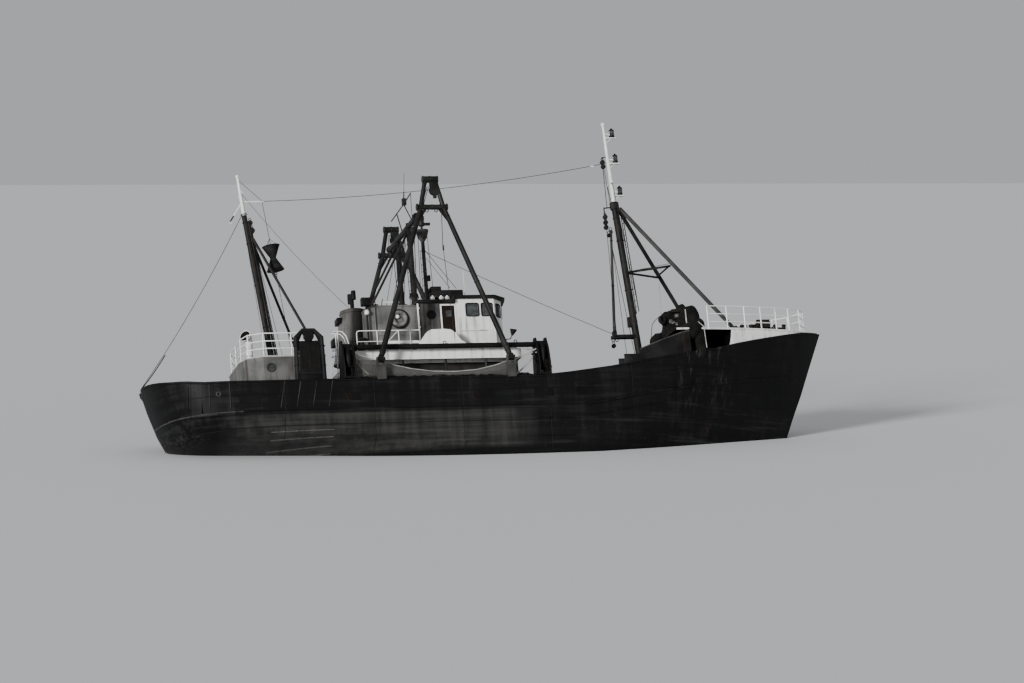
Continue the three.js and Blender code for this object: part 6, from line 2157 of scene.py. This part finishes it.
def add_derrick(side, word):
    body = "derrick_" + word
    bm = bmesh.new()
    for end in (0, 1):
        derrick_leg(bm, end, side)
    derrick_head(bm, side)
    add_piece("derrick_fittings_" + word, bm, MAST_BLACK, body)
    bm = bmesh.new()
    for dx in (-0.06, 0.0, 0.06):
        hang(bm, (GANTRY_X + dx, side * 2.45, 8.62), (-2.7 + dx, side * 3.58, 9.95), 0.014)
    falls = add_piece("topping_falls_" + word, bm, WIRE_ROPE, None, crease=60)
    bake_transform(falls)
    bm = bmesh.new()
    y = side * 3.69
    hang(bm, (-2.2, side * CAP_Y, 8.95), (-2.25, side * 3.68, 7.4), 0.014)
    block(bm, (-2.27, y - 0.03, 7.2), (-2.21, y + 0.03, 7.42), 0.01)
    hang(bm, (-2.24, y, 7.2), (-2.0, side * 3.5, 3.5), 0.012)
    pendant = add_piece("derrick_pendant_" + word, bm, WIRE_ROPE, None, crease=60)
    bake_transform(pendant)


for side, word in SIDES:
    add_derrick(side, word)
    dress(MAST_BLACK, "derrick_leg_aft_" + word, "derrick_leg_fore_" + word,
          "derrick_head_" + word)


# Trawls. A round iron beam lies along each rail on two heavy shoes, with tickler chains and the
# net hung along it from a bleached headline. The netting is thin and shows light.

NET_AFT, NET_FORE, NET_LENGTH = -6.1, 1.44, 7.54
SHOES_X = (-6.4, 1.75)
BEAM_Y, BEAM_Z = 2.95, 3.36
RAIL_GAP_Z = 2.03
GEAR_IRON = painted_steel("gear_iron", (0.0028, 0.0027, 0.0026), (0.008, 0.0075, 0.007),
                          rust=0.12, dirt=0.2, rough=(0.5, 0.8))
THIN_NET = netting_paint("thin_netting", (0.06, 0.059, 0.056), (0.13, 0.128, 0.12), 0.085, 0.15)
FOLDED_NET = netting_paint("folded_netting", (0.03, 0.029, 0.027), (0.08, 0.078, 0.073), 0.06)
HEADLINE = (
    (NET_AFT, 3.06), (-5.4, 2.83), (-4.6, 2.58), (-3.8, 2.39), (-2.9, 2.27), (-2.0, 2.24),
    (-1.1, 2.3), (-0.3, 2.47), (0.5, 2.74), (NET_FORE, 3.08))
NET_PLACES = [NET_AFT + NET_LENGTH * k / 90 for k in range(91)]


def net_skin(side, x, share):
    """The hung netting: from the headline it bellies out, then tucks in over the rail."""
    top = straight(HEADLINE, x)
    fall = min(share * 1.25, 1.0)
    belly = math.sin(fall * math.pi) * 0.08 * min((top - RAIL_GAP_Z) / 0.4, 1)
    tuck = max(share - 0.8, 0) / 0.2
    fold = noise.noise(Vector((x * 3.4, share * 1.3, side * 9))) * 0.06 * math.sin(
        min(share * 1.6, 1) * math.pi * 0.5)
    return Vector((x, side * (3.1 + belly + fold - tuck * 0.22),
                   top - (top - RAIL_GAP_Z) * fall + 0.03 * tuck))


def net_sheet(side, rows, shift):
    """A sheet of hung netting from its top down to a row, and its area."""
    bm = bmesh.new()
    loft(bm, [[net_skin(side, x, v / 12) + shift for v in range(rows)] for x in NET_PLACES])
    bmesh.ops.recalc_face_normals(bm, faces=bm.faces)
    return bm, sum(face.calc_area() for face in bm.faces)


def add_net(side, word):
    """Two sheets of netting, with the roll and headline on them."""
    bm, area = net_sheet(side, 13, Vector((0, 0, 0)))
    sheet = add_piece("net_sheet_" + word, bm, THIN_NET,
                      replaces=["net_" + word], crease=180)
    bm, inner_area = net_sheet(side, 10, Vector((0, side * -0.16, 0.01)))
    inner = add_piece("net_lining_" + word, bm, THIN_NET, crease=180)
    bm = bmesh.new()
    rows = []
    for x in NET_PLACES[4:-4]:
        swell = 1 + 0.2 * noise.noise(Vector((x * 1.7, side * 4.0, 0)))
        middle = Vector((x, side * 3.02, 2.1))
        rows.append([middle + Vector((0, math.cos(a) * 0.12, math.sin(a) * 0.07)) * swell
                     for a in [math.tau * k / 12 for k in range(13)]])
    loft(bm, rows)
    close_up(bm)
    roll = add_piece("net_bundle_" + word, bm, FOLDED_NET, crease=180)
    headline = add_headline(side, word)
    add_tickler_chains(side, word)
    round(area / NET_LENGTH, 2)
    round(inner_area / NET_LENGTH, 2)


def add_headline(side, word):
    """The bleached headline, its ends made fast to the shoes, and slack lines at both ends."""
    bm = bmesh.new()
    y = side * 3.1
    tube(bm, [(x, y, straight(HEADLINE, x) + 0.01) for x in NET_PLACES[::2]], 0.017, 8)
    tube(bm, [(NET_AFT, y, 3.07), (-6.25, y, 3.3)], 0.02, 6)
    tube(bm, [(NET_FORE, y, 3.09), (1.6, y, 3.25)], 0.02, 6)
    hang_all(bm, ((0.55, side * 3.12, 2.06), (1.6, y, 3.1), 0.03, 0.06),
             ((0.35, side * 3.14, 2.62), (1.6, side * 3.12, 3.18), 0.026, 0.03),
             ((0.95, side * 3.0, 3.2), (1.62, side * 3.08, 3.12), 0.03, 0.03),
             ((-5.6, side * 3.12, 2.2), (-6.2, y, 2.9), 0.02, 0.05))
    return add_piece("headline_" + word, bm, PALE_ROPE, crease=60)


def add_tickler_chains(side, word):
    """Chains hung over both shoes, a bight at the fore one, a run on the rail, and chafing."""
    bm = bmesh.new()
    for x in SHOES_X:
        for k in range(4):
            y = side * (2.98 + 0.07 * k)
            chain(bm, (x - 0.08 + 0.05 * k, y, 3.26), (x - 0.12 + 0.08 * k, y, 2.1), 0.12, 0.028)
    for k in range(6):
        start = Vector((1.3 + 0.05 * k, side * (3.16 + 0.02 * k), 2.9 - 0.1 * k))
        chain(bm, start, start + Vector((0.5, 0, -0.06)), 0.12, 0.028)
    points = [(x, side * (3.2 + 0.02 * math.sin(x * 3)), 2.04 + 0.012 * math.sin(x * 7))
              for x in [-5.9 + 0.4 * k for k in range(19)]]
    for a, b in zip(points, points[1:]):
        if not any(abs((a[0] + b[0]) / 2 - foot) < 0.45 for foot in DERRICK_FEET):
            chain(bm, a, b, 0.11, 0.018)
    for x in SHOES_X:
        bundle(bm, (x, side * 2.96, 2.85), (0.18, 0.4, 0.62), 0.04, 9, 3)
    add_piece("tickler_chains_" + word, bm, GEAR_IRON, crease=60)


SHOE_SECTION = ((3.42, 2.0), (3.43, 2.5), (3.29, 3.15), (3.06, 3.59), (2.8, 3.63), (2.61, 3.4),
                (2.51, 2.8), (2.44, 2.25), (2.44, 2.0))


def add_trawl_details(side, word):
    """Round bar on the shoes' edges, their sockets and cross bars, and the beam's bands."""
    bm = bmesh.new()
    for x in (-6.62, -6.18, 1.53, 1.97):
        tube(bm, [(x, side * y, z) for y, z in SHOE_SECTION], 0.035, 8)
    for x in SHOES_X:
        lathe(bm, [(0.13, -0.2), (0.15, -0.18), (0.15, 0.18), (0.13, 0.2)],
              (x, side * BEAM_Y, BEAM_Z), (1, 0, 0), 22)
        for y in (2.62, 3.28):
            tube(bm, [(x - 0.25, side * y, 2.5), (x + 0.25, side * y, 2.5)], 0.03)
    for k in range(9):
        hoop(bm, (-5.6 + 0.85 * k, side * BEAM_Y, BEAM_Z), (1, 0, 0), 0.111, 0.012, 20, 6)
    for x in (-5.3, -2.3, 0.7):
        hoop(bm, (x, side * BEAM_Y, BEAM_Z + 0.14), (0, 1, 0), 0.06, 0.018, 14, 6)
    add_piece("trawl_beam_fittings_" + word, bm, GEAR_IRON)


for side, word in SIDES:
    add_net(side, word)
    add_trawl_details(side, word)
    dress(GEAR_IRON, "trawl_beam_" + word)


# Gallows and otter boards. Bent black tube arches stand at the after rail with a hanging sheave,
# and a tarred board with iron straps leans inside each.

GALLOWS_X, GALLOWS_Y = -7.97, 3.14
TARRED_WOOD = teak("tarred_boards", (0.009, 0.008, 0.0075), (0.004, 0.0038, 0.0035))


def add_gallows_details(side, word):
    """Leg bands, knees and cross plates, and the sheave hung from the top with its chain."""
    x, y = GALLOWS_X, side * GALLOWS_Y
    bm = bmesh.new()
    for leg in (-8.52, -7.42):
        for z in (1.6, 2.6, 3.4):
            hoop(bm, (leg, y, z), (0, 0, 1), 0.1, 0.016, 20, 6)
    for way in (-0.13, 0.11):
        disc(bm, 0.2, -0.01, 0.01, (x, y + way, 3.8), (0, 1, 0))
    for leg, inward in ((-8.49, 1), (-7.46, -1)):
        plate(bm, [(leg, y - 0.02, 3.35), (leg + 0.3 * inward, y - 0.02, 4.0),
                   (leg, y - 0.02, 3.8)], (0, 0.04, 0))
    block(bm, (-8.2, y - 0.09, 3.86), (-7.75, y + 0.09, 3.98), 0.02)
    for low, high in ((1.95, 2.26), (3.2, 3.62)):
        block(bm, (-8.42, y - 0.02, low), (-7.52, y + 0.02, high), 0.006)
    tube(bm, [(x, y - 0.16, 3.78), (x, y + 0.16, 3.78)], 0.035)
    for cheek in (-8.1, -7.84):
        block(bm, (cheek - 0.03, y - 0.13, 3.8), (cheek + 0.03, y + 0.13, 4.02), 0.01)
    chain(bm, (x, y - side * 0.02, 3.56), (x, y, 3.4), 0.08, 0.014)
    add_piece("gallows_fittings_" + word, bm, GEAR_IRON)


def add_board_straps(side, word):
    """Iron straps, a shoe and seams on the otter board, and its towing bracket inboard."""
    y = side * GALLOWS_Y
    bm = bmesh.new()
    for x0, x1 in ((-8.39, -8.3), (-8.02, -7.93), (-7.63, -7.54)):
        block(bm, (x0, y - 0.062, 2.35), (x1, y + 0.062, 3.41), 0.008)
    block(bm, (-8.4, y - 0.066, 2.34), (-7.53, y + 0.066, 2.45), 0.01)
    for k in range(6):
        z = 2.56 + 0.15 * k
        block(bm, (-8.38, y - 0.056, z), (-7.55, y + 0.056, z + 0.012), 0.003)
    tube(bm, [(-8.2, y - side * 0.1, 3.0), (GALLOWS_X, y - side * 0.3, 2.95),
              (-7.75, y - side * 0.1, 3.0)], 0.02)
    add_piece("board_straps_" + word, bm, GEAR_IRON)


for side, word in SIDES:
    add_gallows_details(side, word)
    add_board_straps(side, word)
    dress(BLACK_PAINT, "gallows_" + word)
    dress(TARRED_WOOD, "trawl_door_" + word)


# Trawl winch. Cast cheeks carry a shaft with two warp drums and a warping head, wound full of
# wire, with the gear case to port.

WINCH_X, WINCH_Z = 2.3, 1.42


def wound_wire():
    """Rusty wire in close turns, with painted shade in the grooves between them."""
    material, at = new_material("wound_wire")
    y = at.axes()[1]
    turn = (y % 0.026).near(0.013, 0.013)
    fade = at.noise(6, detail=4)
    tone = fade.ramp(0.38, 0.62).blend((0.02, 0.019, 0.018), (0.065, 0.055, 0.045))
    # The grooves between the turns are painted near black as painted shade.
    lay_on(at, (turn.ramp(0.2, 1.0, 0.2, 1.0)).blend((0.006, 0.006, 0.006), tone), 0.55, turn,
           0.8, 0.01)
    return material


def add_winch_drums():
    """The wound wire, and the flange rims and warping head that turn with the shaft."""
    bm = bmesh.new()
    for y0, y1 in ((-1.11, -0.16), (0.16, 1.08)):
        long = y1 - y0
        lathe(bm, [(0.2, 0), (0.3, 0.0), (0.31, 0.02), (0.31, long - 0.02), (0.3, long),
                   (0.2, long)], (WINCH_X, y0, WINCH_Z), (0, 1, 0), 30)
    add_piece("winch_wire", bm, wound_wire(), "winch")
    bm = bmesh.new()
    for y in (-1.195, -1.105, -0.155, -0.065, 0.065, 0.155, 1.085, 1.175):
        hoop(bm, (WINCH_X, y, WINCH_Z), (0, 1, 0), 0.352, 0.012, 30, 6)
    lathe(bm, [(0.13, 0), (0.17, 0.01), (0.17, 0.04), (0.12, 0.09), (0.115, 0.2), (0.15, 0.27),
               (0.15, 0.29), (0, 0.3)], (WINCH_X, -1.5, WINCH_Z), (0, -1, 0), 26)
    add_piece("winch_rims", bm, IRON, "winch")


def add_winch_details():
    """Bearings and bolts of the cheeks, two brake levers and the gear case's lid."""
    bm = bmesh.new()
    for y in (-1.26, 0.0, 1.26):
        lathe(bm, [(0.07, -0.05), (0.13, -0.05), (0.13, 0.05), (0.07, 0.05)],
              (WINCH_X, y, WINCH_Z), (0, 1, 0), 24)
        for x in (1.95, 2.65):
            tube(bm, [(x, y - 0.05, 1.0), (x, y - 0.05, 1.1)], 0.02)
    for y in (-0.66, 0.62):
        tube(bm, [(2.95, y, 1.0), (3.02, y, 1.5), (2.98, y, 1.75)], 0.018)
        lathe(bm, [(0, -0.03), (0.03, 0), (0, 0.03)], (2.98, y, 1.77), steps=12)
    block(bm, (1.88, 1.4, 1.68), (2.72, 1.87, 1.74), 0.012)
    add_piece("winch_details", bm, IRON)


add_winch_drums()
add_winch_details()
dress(IRON, "winch_frame", "winch_drum")


# Fish hatch. A plated steel cover hinged on the coaming amidships, with turned-down edges, bars
# across it and two handles.

def add_hatch_details():
    bm = bmesh.new()
    for y in (-0.84, 0.8):
        block(bm, (4.16, y, 1.51), (5.64, y + 0.04, 1.6), 0.008)
    for x in (4.5, 4.9, 5.3):
        tube(bm, [(x, -0.7, 1.585), (x, 0.7, 1.585)], 0.014, 6)
    for x in (4.35, 5.45):
        tube(bm, [(x, -0.12, 1.58), (x, -0.12, 1.66), (x, 0.12, 1.66), (x, 0.12, 1.58)], 0.012)
    add_piece("hatch_details", bm, PALE_GREY, "hatch")


add_hatch_details()
dress(PALE_GREY, "hatch_cover")


# Rudder and propeller. A welded blade on its stock, and a four-bladed bronze screw, dulled.

SCREW_X = -11.6


def bottom_paint():
    """Dull red anti-fouling with growth on it."""
    material, at = new_material("bottom_paint")
    growth = at.noise(3, detail=6)
    spots = at.noise(16, detail=5)
    tone = growth.ramp(0.36, 0.64).blend((0.03, 0.016, 0.013), (0.045, 0.036, 0.028))
    lay_on(at, spots.ramp(0.52, 0.66).blend(tone, (0.06, 0.065, 0.05)), 0.75, spots, 0.4, 0.01)
    return material


def bronze():
    """Cast bronze, tarnished in patches."""
    material, at = new_material("bronze")
    tarnish = at.noise(5, detail=6)
    lay_on(at, tarnish.ramp(0.4, 0.65).blend((0.24, 0.155, 0.07), (0.06, 0.062, 0.045)),
           tarnish.ramp(0.3, 0.7, 0.35, 0.7), tarnish, 0.3, 0.004, Metallic=0.9)
    return material


def screw_blade():
    """One blade, twisted along its length, standing up from the shaft's axis."""
    rows = []
    for share in [step / 14 for step in range(15)]:
        radius = 0.1 + 0.55 * share
        chord = 0.06 + 0.3 * math.sin(math.pi * min(share * 0.9 + 0.12, 1)) ** 0.8
        pitch = math.atan2(0.45, radius * 2.2 + 0.15)
        thick = 0.028 * (1 - share * 0.75)
        row = []
        for a in [math.tau * j / 16 for j in range(17)]:
            across, through = chord * 0.5 * math.cos(a), thick * math.sin(a)
            swing = (across * math.cos(pitch) + 0.05 * share) / max(radius, 0.2)
            row.append((across * math.sin(pitch) + through * math.cos(pitch),
                        radius * math.sin(swing), radius * math.cos(swing)))
        rows.append(row)
    blade = bmesh.new()
    loft(blade, rows)
    close_up(blade)
    return blade


def add_screw():
    bm = bmesh.new()
    place = (SCREW_X, 0, SHAFT_Z)
    lathe(bm, [(0, -0.31), (0.05, -0.3), (0.1, -0.25), (0.135, -0.1), (0.145, 0.05),
               (0.14, 0.2), (0.1, 0.24), (0, 0.24)], place, (1, 0, 0), 30)
    for k in range(4):
        turn = Matrix.Rotation(k * math.pi / 2, 4, "X")
        put(bm, screw_blade(), Matrix.Translation(place) @ turn)
    add_piece("screw_blades", bm, bronze(), "screw", replaces=["propeller"])


def add_rudder_details():
    """Three welded bands across each side of the blade."""
    bm = bmesh.new()
    inner = ((-13.2, 0.03), (-12.5, 0.066), (-12.35, 0.02))
    outer = ((-12.35, 0.05), (-12.5, 0.09), (-13.2, 0.05))
    for z in (-2.3, -1.7, -1.1):
        for side in (-1, 1):
            plate(bm, [*((x, side * y, z) for x, y in inner),
                       *((x, side * y, z + 0.005) for x, y in outer)], (0, 0, 0.05))
    add_piece("rudder_bands", bm, bottom_paint(), "rudder_blade")


add_screw()
add_rudder_details()
dress(bottom_paint(), "rudder")


# Stays and aerials. Steel wires between the masts, with small insulators, from the aft mast to
# the funnel's head, and from the radar mast to a lug on the boom's fork.

AERIAL, AERIAL_SAG = ((-9.78, 0, 10.4), (6.36, 0, 12.1)), 0.35


def add_stays():
    bm = bmesh.new()
    hang_all(bm, (*AERIAL, 0.012, AERIAL_SAG, 16),
             ((-2.1, 0, 8.2), (5.9, -0.3, 4.34), 0.012, 0.05, 14),
             ((-9.86, 0, 10.9), (-5.5, 0, 5.75), 0.009, 0.2))
    tube(bm, [(5.9, -0.1, 4.34), (5.9, -0.33, 4.34)], 0.025)
    add_piece("stays", bm, WIRE_ROPE, crease=60)
    bm = bmesh.new()
    for share in (0.04, 0.95):
        place = Vector(AERIAL[0]).lerp(Vector(AERIAL[1]), share)
        place.z -= 4 * AERIAL_SAG * share * (1 - share)
        for k in range(3):
            lathe(bm, [(0, -0.03), (0.035, -0.01), (0.035, 0.01), (0, 0.03)],
                  place + Vector((0.06 * k, 0, 0)), (1, 0, 0), 12)
    add_piece("insulators", bm, SPAR_WHITE)


add_stays()
